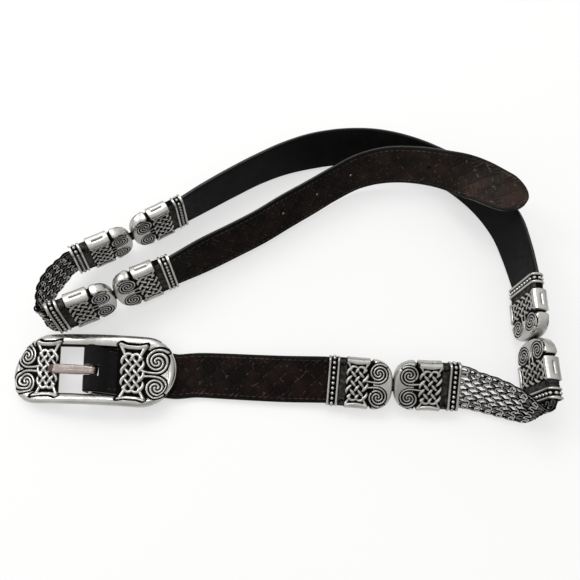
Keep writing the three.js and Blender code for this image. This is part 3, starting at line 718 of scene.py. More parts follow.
# %% Caps in place
def place_cap(name, sections, relief, beads):
    """One cap's casting with its beads, moved from its own axes to its place on the belt."""
    cap = caps[name]
    sideways = np.cross(cap["front"], cap["to_tip"])
    basis = np.stack([cap["to_tip"], sideways, cap["front"]])
    count, around = sections.shape[:2]
    index = np.arange(count * around).reshape(count, around)
    nxt = np.roll(index, -1, axis=1)
    quads = np.stack([index[:-1], index[1:], nxt[1:], nxt[:-1]], -1).reshape(-1, 4)
    strip = np.arange(around // 2 - 1)
    ends = [
        np.stack([row[strip], row[strip + 1], row[around - 2 - strip], row[around - 1 - strip]], -1)
        for row in (index[0], index[-1][::-1])
    ]
    faces = [list(f) for f in np.vstack([quads, *ends])]
    points, shine = [sections.reshape(-1, 3)], [relief.ravel()]
    total = count * around
    for centre in beads:
        made, sides = bead(np.array(centre), BEAD_RADIUS)
        faces += [[k + total for k in f] for f in sides]
        points.append(made)
        shine.append(np.ones(len(made)))
        total += len(made)
    points = np.vstack(points) @ basis + cap["mouth"] + ORIGIN_SHIFT
    return new_piece(name + "_casting", points, faces, [cast_silver], [name],
                     layers={"relief": np.concatenate(shine)}, smooth_angle=60)


for name, cap in caps.items():
    piece = place_cap(name, *CAP_MESH[cap["holds"]])
print("cap faces", len(piece.data.polygons))

# %% [markdown]
# The buckle is an arched oval plate with a convex polished rim, an opening for the prong and one
# ornament at each end. It is one grid from end to end, with the opening's cells left out, so that
# rim, plate and relief are one casting.

# %% Sizes of the buckle
HALF_LENGTH, HALF_WIDTH, OVAL_END = 45.3, 19.3, 17.5
SIDE_RIM, END_RIM = 6.3, 4.2
OPENING = (-18.2, 14.6)
ORNAMENT_BUCKLE = {
    "swing": 5.8, "strand": 0.98, "lift": 0.88, "wave": 0.46, "turn_at": 5.7, "arch": 1.8,
    "flare": 6.8, "reach": 14.7, "sag": 1.0, "side": 7.1, "spiral_radius": 6.05, "pitch": 2.02, "ridge": 0.68,
}
BUCKLE_MIDDLES = {1: 22.7, -1: 25.0}
SPIRAL_GAP = {1: 12.9, -1: 13.0}


def arch(x):
    """Height of the plate's middle surface over the floor."""
    return 1.9 + 4.7 * (x + HALF_LENGTH) / (2 * HALF_LENGTH) + 7 * (1 - (x / HALF_LENGTH) ** 2)


print("plate", arch(-HALF_LENGTH), "mm high at the left and", arch(HALF_LENGTH), "mm at the right")

# %% Lean of the casting
def leaning(points, low=1.0):
    """The photographed ornament and opening lean and sit low inside an outline that does not."""
    points = np.array(points, float)
    x, y = points[..., 0], points[..., 1]
    share = np.hypot(np.maximum(np.abs(x) - HALF_LENGTH + OVAL_END, 0) / OVAL_END, y / HALF_WIDTH)
    hold = np.clip((1 - share) / 0.3, 0, 1)
    lean = (0.16 - 0.001 * x) * y * hold * hold * (3 - 2 * hold)
    drop = (1.1 + 0.016 * x) * np.clip(1 - share**4, 0, 1)
    points[..., 0] -= lean
    points[..., 1] -= drop * low
    return points


BUCKLE_TURN = math.radians(BUCKLE_HEADING)
TURN = np.array([[math.cos(BUCKLE_TURN), math.sin(BUCKLE_TURN), 0],
                 [-math.sin(BUCKLE_TURN), math.cos(BUCKLE_TURN), 0], [0, 0, 1]])
BUCKLE_PLACE = np.array([*BUCKLE_AT, 0]) + ORIGIN_SHIFT


def square_to_world(points):
    """From the buckle's own axes to the belt's."""
    return np.asarray(points, float) @ TURN + BUCKLE_PLACE


def buckle_to_world(points):
    """The same for points of the casting, which lean."""
    return square_to_world(leaning(points))


def lean_strap(points):
    """Gives the strap inside the buckle the same lean as the casting round it."""
    return square_to_world(leaning((points - BUCKLE_PLACE) @ TURN.T, 0.1))


print("the casting's middle sits", round(-leaning([0, 0, 0])[1], 2), "mm low")

# %% Grid of the casting
GRID_STEP, OPENING_STEP = 0.28, 0.6


def buckle_grid():
    """Rows along the buckle, columns across it, and the outline's share of the width at each row."""
    straight = HALF_LENGTH - OVAL_END
    bend = OVAL_END * np.sin(np.linspace(0, math.radians(88), 74)[1:])
    rows = np.concatenate([
        -straight - bend[::-1], np.arange(-28, OPENING[0], GRID_STEP),
        np.arange(*OPENING, OPENING_STEP), np.arange(OPENING[1], 28, GRID_STEP), straight + bend,
    ])
    inner = HALF_WIDTH - SIDE_RIM
    side = np.linspace(inner, HALF_WIDTH, 24)
    columns = np.concatenate([-side[::-1], np.arange(-inner, inner, GRID_STEP)[1:], side])
    past = np.maximum(np.abs(rows) - straight, 0) / OVAL_END
    return rows, columns, np.sqrt(np.maximum(1 - past**2, 0))


print("grid", [len(part) for part in buckle_grid()[:2]])


# %% Buckle casting
def buckle_casting():
    """Rim, plate and both ornaments as one skin, with the opening's cells left out."""
    rows, columns, width = buckle_grid()
    x = np.repeat(rows[:, None], len(columns), 1)
    y = width[:, None] * columns[None, :]
    straight = HALF_LENGTH - OVAL_END
    past = np.maximum(np.abs(x) - straight, 0) / OVAL_END
    share = np.sqrt(past**2 + (y / HALF_WIDTH) ** 2)
    endness = np.where(share > 0, past / np.maximum(share, 1e-6), 0) ** 2
    reach = HALF_WIDTH + (OVAL_END - HALF_WIDTH) * endness
    inward = (1 - share) * reach / (SIDE_RIM + (END_RIM - SIDE_RIM) * endness)
    near = np.clip(inward / 0.5, 0, 1)
    far = np.clip((inward - 0.5) / 0.5, 0, 1)
    rim = 0.1 + 2.0 * np.maximum(1 - (1 - near) ** 2, 0) ** 0.6 - 1.5 * far**2
    recess = np.full(x.shape, 0.35)
    smooth_rim = np.where(inward < 1, np.maximum(rim, recess), recess)
    height, plain = smooth_rim.copy(), (inward < 0.9) * 1.0
    for flip in (1, -1):
        middle = BUCKLE_MIDDLES[flip]
        shape = {**ORNAMENT_BUCKLE, "middle": middle, "spiral_at": middle + SPIRAL_GAP[flip]}
        grid_rows, grid_x = (rows, x) if flip > 0 else (-rows[::-1], -x[::-1])
        beyond = (grid_x > shape["spiral_at"])[::flip]
        height = np.where(beyond, np.maximum(height, 1.0), height)
        plain = np.maximum(plain, beyond)
        close = np.full(x.shape, -9.0)
        ornament(grid_rows, grid_x, y[::flip], close, 0 * x, shape, 0.75)
        close = close[::flip] > -1
        height = np.where(close, np.maximum(recess, smooth_rim - 1.1), height)
        plain = np.where(close, 0, plain)
        raised = np.full(x.shape, -9.0)
        base = np.maximum(recess, smooth_rim - 0.9)[::flip]
        ornament(grid_rows, grid_x, y[::flip], raised, base, shape)
        raised = raised[::flip]
        plain = np.where(raised > height, np.clip((raised - base[::flip] - 0.28) / 0.75, 0, 1), plain)
        height = np.maximum(height, raised)
    top = np.stack([x, y, arch(x) + height], -1)
    bottom = np.stack([x, y * 0.985, arch(x) - 1.5 + 0.4 * np.clip(inward, 0, 1)], -1)
    middle_x = (rows[:-1] + rows[1:]) / 2
    middle_y = (columns[:-1] + columns[1:]) / 2
    open_x = (middle_x > OPENING[0]) & (middle_x < OPENING[1])
    open_y = np.abs(middle_y) < HALF_WIDTH - SIDE_RIM
    hole = open_x[:, None] & open_y[None, :]
    return two_sheets(top, bottom, ~hole, {"relief": (plain, plain * 0 + 0.5)})


points, faces, _, layers = buckle_casting()
buckle = new_piece("buckle_casting", buckle_to_world(points), faces, [cast_silver], ["buckle_frame"],
                   layers=layers, smooth_angle=55)
print("buckle faces", len(buckle.data.polygons))

# %% [markdown]
# The centre bar is a plain drawn rod. The prong is a strip of thicker metal that is curled round
# the bar and rests on the frame's left end. It is lofted along its own middle line.

# %% Centre bar
BAR_HALF = HALF_WIDTH - SIDE_RIM / 2 - 0.3
BAR_STATIONS = [(0, 0.8), (0.02, 1), (0.35, 0.99), (0.65, 0.99), (0.98, 1), (1, 0.8)]  # place, girth
angle = np.linspace(0, 2 * math.pi, 28, endpoint=False)
circle = np.stack([-np.cos(angle), 0 * angle, np.sin(angle)], -1) * (BAR_RADIUS - 0.12)
points, faces = loft([
    np.array([0, BAR_HALF * (1 - 2 * place), BAR_HEIGHT]) + circle * girth for place, girth in BAR_STATIONS
])
new_piece("buckle_bar", buckle_to_world(points), faces, [cast_silver],
          layers={"relief": np.ones(len(points))})
print("bar", round(2 * BAR_HALF, 1), "mm long")

# %% Prong
PRONG_CURL = 2.45
PRONG_DROP = 1.1  # it sits as low in the picture as the casting's lean puts the opening
PRONG_ARM = [  # along the buckle, height over the bar, half thickness, half width
    (-2.0, 2.42, 0.72, 2.3), (-4.0, 2.34, 0.85, 2.5), (-8, 2.27, 1.0, 2.6), (-12, 2.4, 1.0, 2.6),
    (-16, 2.55, 0.98, 2.6), (-19, 2.62, 0.95, 2.58), (-21, 2.5, 0.9, 2.35), (-22.3, 2.3, 0.78, 1.75),
    (-23.0, 2.1, 0.5, 0.9), (-23.2, 2.05, 0.2, 0.3),
]


def prong_rings():
    """Rounded oblongs along the prong, from the curl round the bar to the tip."""
    turn = np.radians(np.arange(-140, 91, 15))
    curl = [(PRONG_CURL * math.cos(a), PRONG_CURL * math.sin(a), 0.65, 2.15) for a in turn]
    line = np.array(curl + PRONG_ARM)
    line[:, 1] += BAR_HEIGHT
    t = np.linspace(0, len(line) - 1, 130)
    line = np.stack([np.interp(t, np.arange(len(line)), line[:, k]) for k in range(4)], -1)
    for _ in range(4):
        line[1:-1] = (line[:-2] + 2 * line[1:-1] + line[2:]) / 4
    along = np.gradient(line[:, :2], axis=0)
    along /= np.linalg.norm(along, axis=1, keepdims=True)
    around = np.linspace(0, 2 * math.pi, 32, endpoint=False)
    wide = np.sign(np.cos(around)) * np.abs(np.cos(around)) ** 0.35
    thick = np.sign(np.sin(around)) * np.abs(np.sin(around)) ** 0.5
    return [
        np.stack([px - az * thick * half_thick, wide * half_wide, pz + ax * thick * half_thick], -1)
        for (px, pz, half_thick, half_wide), (ax, az) in zip(line, along)
    ]


points, faces = loft(prong_rings())
# The prong is darker towards its tip.
darker_tip = np.clip((points[:, 0] + 20.6) / 1.6, 0.25, 1)
prong_piece = new_piece("prong_strip", square_to_world(points - [0, PRONG_DROP, 0]), faces, [prong_silver],
                        ["buckle_prong"], "prong", {"relief": darker_tip})
print("prong faces", len(prong_piece.data.polygons))

# %% [markdown]
# The straps are leather, stamped on the outer face to look like strips woven at 45 degrees, and
# smooth on the inner face. The stamping is shallow real relief in the mesh. A node group draws the
# same strips once more, so that each strip has its own tone and thin highlights are painted along
# its edges, and a second group gives every leather its grain.

# %% Grain of the leather
def grain_group():
    """Pebbles and creases of leather, and patches of wear."""
    tree, given, result = group(
        "leather_grain",
        [("Scale", "NodeSocketFloat", 900.0), ("Wear", "NodeSocketFloat", 0.5)],
        [("Height", "NodeSocketFloat"), ("Mottle", "NodeSocketFloat"), ("Roughness", "NodeSocketFloat")],
    )
    place = own_place(tree)
    cells = node(tree, "ShaderNodeTexVoronoi", {"feature": "DISTANCE_TO_EDGE"}, Vector=place,
                 Scale=given.outputs["Scale"]).outputs["Distance"]
    pebble = ranged(tree, cells, 0.0, 0.16)
    crease = noise(tree, place, 260.0, 5.0, 0.8)
    mottle = ranged(tree, noise(tree, place, 75.0, 4.0), 0.4, 0.68)
    wear_and_glint = maths(tree, "MULTIPLY", mottle, given.outputs["Wear"])
    tree.links.new(maths(tree, "MULTIPLY_ADD", crease, 1.6, pebble), result.inputs["Height"])
    tree.links.new(wear_and_glint, result.inputs["Mottle"])
    tree.links.new(ranged(tree, crease, 0.3, 0.7, 0.34, 0.6), result.inputs["Roughness"])
    return tree


GRAIN = grain_group()
print("node group", GRAIN.name)

# %% Stamped strips as a node group
WEAVE_STRIP = 7.0
FINE_FROM = 4.7  # this far from the strap's middle, the strips are a third as wide


def woven_group():
    """Strips woven at 45 degrees, from the mesh's layers run and across in millimetres."""
    tree, given, result = group(
        "woven_strips",
        [("Run", "NodeSocketFloat", 0), ("Across", "NodeSocketFloat", 0), ("Strip", "NodeSocketFloat", 7.0)],
        [("Height", "NodeSocketFloat"), ("Line", "NodeSocketFloat"), ("Tone", "NodeSocketFloat")],
    )

    def calc(kind, *values):
        return maths(tree, kind, *values)

    def to_edge(share):
        """Distance to the nearer edge of a strip, as a share of its width."""
        return calc("MINIMUM", share, calc("SUBTRACT", 1.0, share))

    def choose(mask, first, second):
        """The first value where the mask is 1 and the second where it is 0."""
        rest = calc("SUBTRACT", 1.0, mask)
        return calc("ADD", calc("MULTIPLY", first, mask), calc("MULTIPLY", second, rest))

    place = own_place(tree)
    run, across, strip = (given.outputs[k] for k in ("Run", "Across", "Strip"))
    wide = calc("MULTIPLY", strip, math.sqrt(2))
    nudge = calc("MULTIPLY_ADD", noise(tree, place, 120.0), 0.3, -0.15)
    p = calc("ADD", calc("DIVIDE", calc("ADD", run, across), wide), nudge)
    q = calc("SUBTRACT", calc("DIVIDE", calc("SUBTRACT", run, across), wide), nudge)
    cell_p, cell_q = calc("FLOOR", p), calc("FLOOR", q)
    under = calc("MODULO", calc("ADD", calc("ADD", cell_p, cell_q), 400.0), 2.0)
    side_p, side_q = calc("FRACT", p), calc("FRACT", q)
    side = choose(under, side_p, side_q)
    outer = calc("GREATER_THAN", calc("ABSOLUTE", across), FINE_FROM)
    fine_gap = calc("DIVIDE", to_edge(calc("FRACT", calc("MULTIPLY", side, 3.0))), 3.0)
    broad_gap = calc("MINIMUM", to_edge(side_p), to_edge(side_q))
    away = calc("MULTIPLY", choose(outer, fine_gap, broad_gap), strip)
    # Line marks thin painted highlights along the strips' edges, broken up by the noise below.
    line = ranged(tree, away, 0.08, 0.3, 1.0, 0.0, soft=True)
    seen = ranged(tree, noise(tree, place, 330.0, 3.0), 0.53, 0.68)
    cell = node(tree, "ShaderNodeCombineXYZ", _0=cell_p, _1=cell_q).outputs[0]
    tone = node(tree, "ShaderNodeTexWhiteNoise", {"noise_dimensions": "3D"}, _0=cell).outputs["Value"]
    tree.links.new(ranged(tree, away, 0.0, 0.55, soft=True), result.inputs["Height"])
    tree.links.new(calc("MULTIPLY", line, seen), result.inputs["Line"])
    tree.links.new(tone, result.inputs["Tone"])
    return tree


WOVEN = woven_group()
print("node group", WOVEN.name)


# %% Smooth leather
GRAIN_SCALE = 900.0


def leather(name, dark, brown, wear, bump_depth, specular):
    """Smooth leather with grain; brown shows through in patches of wear."""
    material, tree, shader = new_material(name)
    shader.inputs["Specular IOR Level"].default_value = specular
    grain = node(tree, "ShaderNodeGroup", {"node_tree": GRAIN}, Scale=GRAIN_SCALE, Wear=wear)
    colour = mixed(tree, grain.outputs["Mottle"], (*dark, 1), (*brown, 1))
    bump = node(tree, "ShaderNodeBump", Strength=0.6, Distance=bump_depth,
                Height=grain.outputs["Height"])
    tree.links.new(colour, shader.inputs["Base Color"])
    tree.links.new(grain.outputs["Roughness"], shader.inputs["Roughness"])
    tree.links.new(bump.outputs["Normal"], shader.inputs["Normal"])
    return material


inner_leather = leather(
    "inner_leather", (0.0036, 0.0036, 0.0036), (0.0055, 0.0053, 0.005), 0.6, 0.00003, 0.06)
edge_leather = leather("painted_edge", (0.01, 0.0095, 0.009), (0.02, 0.018, 0.016), 1.0, 0.00004, 0.3)
thread = leather("dark_thread", (0.014, 0.011, 0.01), (0.06, 0.05, 0.042), 1.0, 0.00003, 0.2)
print("smooth leathers", [m.name for m in (inner_leather, edge_leather, thread)])


# %% Stamped leather
def woven_leather(name, dark, brown, wear_and_glint, specular, paler=None):
    """Leather stamped with woven strips, with thin highlights painted along the strips' edges.

    It grows paler between the two distances of paler, towards the strap's tip: a painted sheen where the
    strap lies flat."""
    material = leather(name, dark, brown, 1.0, 0.00008, specular)
    tree = material.node_tree
    shader = tree.nodes["Principled BSDF"]
    run, across, plain = (
        node(tree, "ShaderNodeAttribute", {"attribute_name": k}).outputs["Fac"]
        for k in ("run", "across", "plain"))
    woven = node(tree, "ShaderNodeGroup", {"node_tree": WOVEN}, Run=run, Across=across, Strip=WEAVE_STRIP)
    grain = next(n for n in tree.nodes if n.type == "GROUP" and n.node_tree == GRAIN)
    bump = next(n for n in tree.nodes if n.type == "BUMP")

    def calc(kind, *values):
        return maths(tree, kind, *values)

    stamped = calc("SUBTRACT", 1.0, plain)
    tone = calc("MULTIPLY_ADD", woven.outputs["Tone"], 0.4, 0.45)
    patchy = calc("MULTIPLY", tone, calc("ADD", grain.outputs["Mottle"], 0.25))
    base = mixed(tree, calc("MULTIPLY", patchy, stamped), (*dark, 1), (*brown, 1))
    # The lines along the strips' edges are painted highlights, in the lighter colour given for them.
    colour = mixed(tree, calc("MULTIPLY", woven.outputs["Line"], stamped), base, (*wear_and_glint, 1))
    shine = calc("MULTIPLY_ADD", plain, 0.04, specular)
    if paler is not None:
        # Painted sheen: colour and shine are darker along the strap and paler towards its tip.
        painted_sheen = ranged(tree, run, *paler, 0.4, 1.0)
        colour = node(tree, "ShaderNodeVectorMath", {"operation": "SCALE"}, _0=colour, _3=painted_sheen).outputs[0]
        shine = calc("MULTIPLY", shine, painted_sheen)
    strips = calc("MULTIPLY", calc("MULTIPLY", woven.outputs["Height"], 6.0), stamped)
    tree.links.new(shine, shader.inputs["Specular IOR Level"])
    tree.links.new(calc("ADD", strips, grain.outputs["Height"]), bump.inputs["Height"])
    tree.links.new(colour, shader.inputs["Base Color"])
    return material


stamped_leather = woven_leather(
    "stamped_leather", (0.0013, 0.0011, 0.001), (0.012, 0.006, 0.0048), (0.06, 0.05, 0.045), 0.04)
# The end strap's leather is painted paler towards its tip, as a painted sheen.
painted_sheen_end_leather = woven_leather(
    "stamped_leather_end", (0.0022, 0.0017, 0.0014), (0.026, 0.0135, 0.0095), (0.11, 0.095, 0.08), 0.11,
    (115, 205))
LEATHERS = [stamped_leather, inner_leather, edge_leather]
END_LEATHERS = [painted_sheen_end_leather, inner_leather, edge_leather]
print("stamped leathers", [m.name for m in (stamped_leather, painted_sheen_end_leather)])

# %% Stamped weave
def value_noise(x, y, seed):
    """Smooth random values between 0 and 1, the same each time for one seed."""
    def corner(i, j):
        return np.mod(np.sin(i * 127.1 + j * 311.7 + seed * 74.7) * 43758.5453, 1.0)
    i, j = np.floor(x), np.floor(y)
    fx, fy = x - i, y - j
    fx, fy = fx * fx * (3 - 2 * fx), fy * fy * (3 - 2 * fy)
    low = corner(i, j) * (1 - fx) + corner(i + 1, j) * fx
    high = corner(i, j + 1) * (1 - fx) + corner(i + 1, j + 1) * fx
    return low * (1 - fy) + high * fy


def weave(run, y):
    """Height of strips woven at 45 degrees; narrower strips show near the edges."""
    p = (run + y) / math.sqrt(2) / WEAVE_STRIP
    q = (run - y) / math.sqrt(2) / WEAVE_STRIP
    over = np.mod(np.floor(p) + np.floor(q), 2) < 0.5
    side = np.where(over, np.mod(q, 1), np.mod(p, 1))
    lengthwise = np.where(over, np.mod(p, 1), np.mod(q, 1))
    side = np.where(np.abs(y) > FINE_FROM, np.mod(side * 3, 1), side)
    crown = np.maximum(1 - (2 * side - 1) ** 2, 0) ** 0.45
    return crown * (0.35 + 0.65 * np.maximum(1 - (2 * lengthwise - 1) ** 4, 0))


print("stamped strips", WEAVE_STRIP, "mm wide")

# %% Strap builder
EDGE_ROUND, STAMP_DEPTH = 0.9, 0.22
DENT_DEPTH, DENT_AT, DENT_WIDE = 0.14, 1.6, 0.28  # the dented line along each edge
FLAT_KEYS = ("at", "across", "out")


def strap_columns(count):
    """Places across a strap: close together at its rounded edges and even between them."""
    return np.concatenate([[-12.5, -12.35, -12.1], np.linspace(-11.75, 11.75, count), [12.1, 12.35, 12.5]])


def strap(name, node_name, line, runs, columns, seed, half_width=None, keep=None, crease=0.0,
          warp=None, plain=None, settle=None, leathers=None):
    """A leather strap along a line: stamped outside, smooth inside, with rounded edges."""
    spots = at_runs(line, runs)
    run = np.repeat(spots["run"][:, None], len(columns), 1)
    half = np.full(len(runs), STRAP_WIDTH / 2) if half_width is None else half_width(spots["run"])
    y = columns[None, :] * (half / (STRAP_WIDTH / 2))[:, None]
    if warp is None:
        at, across, out = (spots[k][:, None, :] for k in FLAT_KEYS)
    else:
        run, y = warp(run, y)
        spots = at_runs(line, run.ravel())
        at, across, out = (spots[k].reshape(*run.shape, 3) for k in FLAT_KEYS)
    inset = half[:, None] - np.abs(y)
    fall = EDGE_ROUND - np.sqrt(np.maximum(EDGE_ROUND**2 - np.maximum(EDGE_ROUND - inset, 0) ** 2, 0))
    smooth = np.zeros(run.shape) if plain is None else plain(run)
    fade = np.clip((inset - 0.9) / 0.8, 0, 1)
    lumps = (value_noise(run / 2.3, y / 2.3, seed + 1) + value_noise(run / 1.1, y / 1.1, seed + 2)) * 0.5
    folds = value_noise(run / 1.6, y / 6, seed + 3)
    crease = crease * (0.55 + 0.75 * (y / (STRAP_WIDTH / 2)) ** 2)
    wrinkles = crease * fade * (0.45 * (lumps - 0.5) + 0.5 * (folds - 0.5))
    stamped = STAMP_DEPTH * fade * (1 - weave(run, y)) * (1 - smooth)
    line_dent = DENT_DEPTH * np.exp(-(((inset - DENT_AT) / DENT_WIDE) ** 2))
    outer = STRAP_THICK / 2 - fall - stamped + wrinkles - line_dent
    inner = -STRAP_THICK / 2 + fall + line_dent

    def lay(level):
        return at + across * y[..., None] + out * level[..., None]

    keep = np.ones((len(runs) - 1, len(columns) - 1), bool) if keep is None else keep(run, y)
    bare = np.clip(smooth + 1 - fade, 0, 1)
    points, faces, kinds, layers = two_sheets(
        lay(outer), lay(inner), keep, {"run": (run, run), "across": (y, y), "plain": (bare, bare)})
    if settle is not None:
        points = settle(points)
    return new_piece(name, points, faces, leathers or LEATHERS, [node_name],
                     layers=layers, face_material=kinds, smooth_angle=65)


print("a strap has", len(strap_columns(50)), "places across")

# %% Back strap
BACK_STEP = 0.75
back_line = smooth_run(
    [*seat("cap_back_strap_right", 3)[::-1], *BACK_STRAP, *seat("cap_back_strap_left", 3)], 0.6)
back_length = back_line["run"][-1]
back_runs = np.linspace(0, back_length, int(back_length / BACK_STEP))
back = strap("back_strap_leather", "back_strap", back_line, back_runs, strap_columns(40), 3)
print("back strap", round(back_length, 1), "mm, faces", len(back.data.polygons))

# %% [markdown]
# The front strap is folded round the buckle's bar, with a slot where the prong comes through. The
# slot is cut by leaving out the cells of the grid between its sides.

# %% Line of the front strap
HEADING = np.array([math.cos(BUCKLE_TURN), math.sin(BUCKLE_TURN), 0])


def fold_station(distance, height):
    """A station at a distance from the bar along the buckle."""
    x, y, _ = square_to_world([[distance, 0, 0]])[0] - ORIGIN_SHIFT
    return (x, y, height, 0)


fold = []
for turn in np.radians([270, 225, 180, 135, 90]):
    fold.append(fold_station(FOLD_RADIUS * math.cos(turn), BAR_HEIGHT + FOLD_RADIUS * math.sin(turn)))
front_line = smooth_run(
    [*[fold_station(*s) for s in FLAP], *fold, *[fold_station(*s) for s in RUN_OUT], *FRONT_STRAP,
     *seat("cap_front_strap", 3)],
    0.4, np.array([-HEADING[1], HEADING[0], 0.0]))
front_length = front_line["run"][-1]
from_bar = (front_line["at"] - BUCKLE_PLACE) @ HEADING
in_slot = front_line["run"][(from_bar < 4.3) & (front_line["run"] < 70)]
print("front strap", round(front_length, 1), "mm, slot", round(in_slot[-1] - in_slot[0], 1), "mm")

# %% Front strap
SLOT_SIDES = (-PRONG_WIDTH / 2 - 1.4, PRONG_WIDTH / 2 - 0.6)
FRONT_STEP = 0.56
front_runs = np.unique(np.concatenate([
    np.linspace(0, in_slot[0], 50), np.linspace(in_slot[0], in_slot[-1], 40),
    np.linspace(in_slot[-1], front_length, int((front_length - in_slot[-1]) / FRONT_STEP)),
]).round(5))
front_columns = np.unique(np.concatenate([strap_columns(50), SLOT_SIDES]))


def slot_cells(run, y):
    """The cells of the grid that stay, with the slot for the prong left out."""
    middle_run = (run[:-1, :-1] + run[1:, 1:]) / 2
    middle_y = (y[:-1, :-1] + y[1:, 1:]) / 2
    open_run = (middle_run > in_slot[0]) & (middle_run < in_slot[-1])
    return ~(open_run & (middle_y > SLOT_SIDES[0]) & (middle_y < SLOT_SIDES[1]))


def plain_fold(run):
    """1 on the fold, where the leather isn't stamped, and 0 on the rest of the strap."""
    return np.clip((in_slot[-1] + 18 - run) / 6, 0, 1)


front = strap("front_strap_leather", "front_strap", front_line, front_runs, front_columns, 11,
              keep=slot_cells, crease=0.25, plain=plain_fold, settle=lean_strap)
print("front strap faces", len(front.data.polygons))

# %% [markdown]
# The end strap carries five punched holes and a round tip. A hole in a grid would have stepped
# sides, so the grid's points near each hole are first pulled on to its circle.

# %% End strap
TIP_LENGTH = 15.0
HOLE_RADIUS, HOLE_PITCH, HOLE_COUNT, FIRST_HOLE = 1.5, 25.4, 5, 62
end_line = smooth_run([*seat("cap_end_strap", 3)[::-1], *END_STRAP], 0.6)
end_length = end_line["run"][-1]
round_from = end_length - TIP_LENGTH
end_runs = np.concatenate([
    np.arange(0, round_from, 0.56), round_from + TIP_LENGTH * np.sin(np.linspace(0, math.radians(88), 46)),
])
hole_runs = [end_length - FIRST_HOLE - k * HOLE_PITCH for k in range(HOLE_COUNT)]


def tip_half(run):
    past = np.clip((run - round_from) / TIP_LENGTH, 0, 1)
    return STRAP_WIDTH / 2 * np.sqrt(np.maximum(1 - past**2, 0.0009))


def pull_to_holes(run, y):
    run, y = run.copy(), y.copy()
    for centre in hole_runs:
        reach = np.hypot(run - centre, y)
        near = np.abs(reach - HOLE_RADIUS) < 0.26
        scale = np.where(near, HOLE_RADIUS / np.maximum(reach, 1e-6), 1)
        run, y = centre + (run - centre) * scale, y * scale
    return run, y


def hole_cells(run, y):
    middle_run = (run[:-1, :-1] + run[1:, 1:] + run[:-1, 1:] + run[1:, :-1]) / 4
    middle_y = (y[:-1, :-1] + y[1:, 1:] + y[:-1, 1:] + y[1:, :-1]) / 4
    keep = np.ones(middle_run.shape, bool)
    for centre in hole_runs:
        keep &= np.hypot(middle_run - centre, middle_y) > HOLE_RADIUS * 0.98
    return keep


end = strap("end_strap_leather", "end_strap", end_line, end_runs, strap_columns(50), 7, tip_half, hole_cells,
            0.75, pull_to_holes, leathers=END_LEATHERS)
print("end strap", round(end_length, 1), "mm, faces", len(end.data.polygons))

# %% [markdown]
# Each strap is sewn along both edges with short dark stitches. A stitch is a small capsule, and
# all the stitches of one strap are one piece.

# %% Stitches
STITCH, STITCH_INSET = 3.2, 2.2
STITCH_SUNK = 0.06
STITCH_PROFILE = [(-1.15, 0.05), (-0.95, 0.18), (0, 0.24), (0.95, 0.18), (1.15, 0.05)]  # place, radius


def stitches(name, line, runs, half_width=None, settle=None):
    """All stitches of one strap, in two rows on its outer face."""
    points, faces = [], []
    angle = np.linspace(0, 2 * math.pi, 6, endpoint=False)[:, None]
    spots = at_runs(line, runs)
    for i in range(len(runs)):
        at, along, across, out = (spots[k][i] for k in ("at", "along", "across", "out"))
        half = STRAP_WIDTH / 2 if half_width is None else half_width(runs[i : i + 1])[0]
        if half < 6:
            continue
        circle = np.cos(angle) * across + np.sin(angle) * out
        for side in (1, -1):
            middle = at + across * side * (half - STITCH_INSET) + out * (STRAP_THICK / 2 - STITCH_SUNK)
            made, sides = loft([middle + along * place + radius * circle for place, radius in STITCH_PROFILE])
            faces += [[k + len(points) * len(made) for k in f] for f in sides]
            points.append(made)
    points = np.vstack(points)
    if settle is not None:
        points = settle(points)
    return new_piece(name, points, faces, [thread])


stitches("front_strap_stitches", front_line, np.arange(in_slot[-1] + 6, front_length - 9, STITCH),
         settle=lean_strap)
stitches("end_strap_stitches", end_line, np.arange(12, round_from + 8, STITCH), tip_half)
stitches("back_strap_stitches", back_line, np.arange(12, back_length - 12, STITCH))
print("stitches every", STITCH, "mm")

# %% [markdown]
# The woven bands are rings, each linked with four neighbours, as in mail. In a flat band the rings
# of one row lean one way and those of the next row lean the other way, which is what lets them
# pass through each other. Each ring is made flat and then bent with the band.

# %% One ring
RING_PITCH = 6.1
RING_LONG, RING_WIDE, WIRE = 2.9, 1.68, 0.64
RING_LEAN = 0.22
RING_STEPS, WIRE_SIDES = 26, 8


def ring_shape(lean):
    """Points, faces and shine of one ring; its wire is bright on top and dark at the sides."""
    t = np.linspace(0, 2 * math.pi, RING_STEPS, endpoint=False)
    c, s = np.cos(t), np.sin(t)
    centre = np.stack([
        RING_LONG * np.sign(c) * np.abs(c) ** 0.9, RING_WIDE * np.sign(s) * np.abs(s) ** 0.8,
        lean * RING_LONG * c,
    ], -1)
    forward = unit(np.roll(centre, -1, 0) - np.roll(centre, 1, 0))
    normal = np.array([-lean, 0, 1.0])
    up = unit(normal - forward * (forward @ normal)[:, None])
    side = np.cross(forward, up)
    a = np.linspace(0, 2 * math.pi, WIRE_SIDES, endpoint=False)
    circle = np.cos(a)[None, :, None] * side[:, None] + np.sin(a)[None, :, None] * up[:, None]
    tube = centre[:, None] + WIRE * circle
    index = np.arange(len(t) * len(a)).reshape(len(t), len(a))
    after, beside = np.roll(index, -1, 0), np.roll(index, -1, 1)
    quads = np.stack([index, after, np.roll(after, -1, 1), beside], -1).reshape(-1, 4)
    height = (tube[..., 2] - tube[..., 2].min()) / np.ptp(tube[..., 2])
    top = np.abs(np.sin(a))[None, :] ** 2.6
    shine = np.clip(0.02 + top * (0.55 + 0.45 * np.abs(2 * height - 1)), 0, 1)
    return tube.reshape(-1, 3), quads, shine.ravel()


print("a ring of", RING_STEPS, "steps and", WIRE_SIDES, "sides")

# %% Bands of rings
RING_ROWS = [(k * 2.62 * (1 - 0.0055 * k * k), k % 2) for k in range(-4, 5)]  # place across, and shift
RING_ROWS += [(side * 9.75, 1) for side in (1, -1)]  # a second row thickens each edge of the band


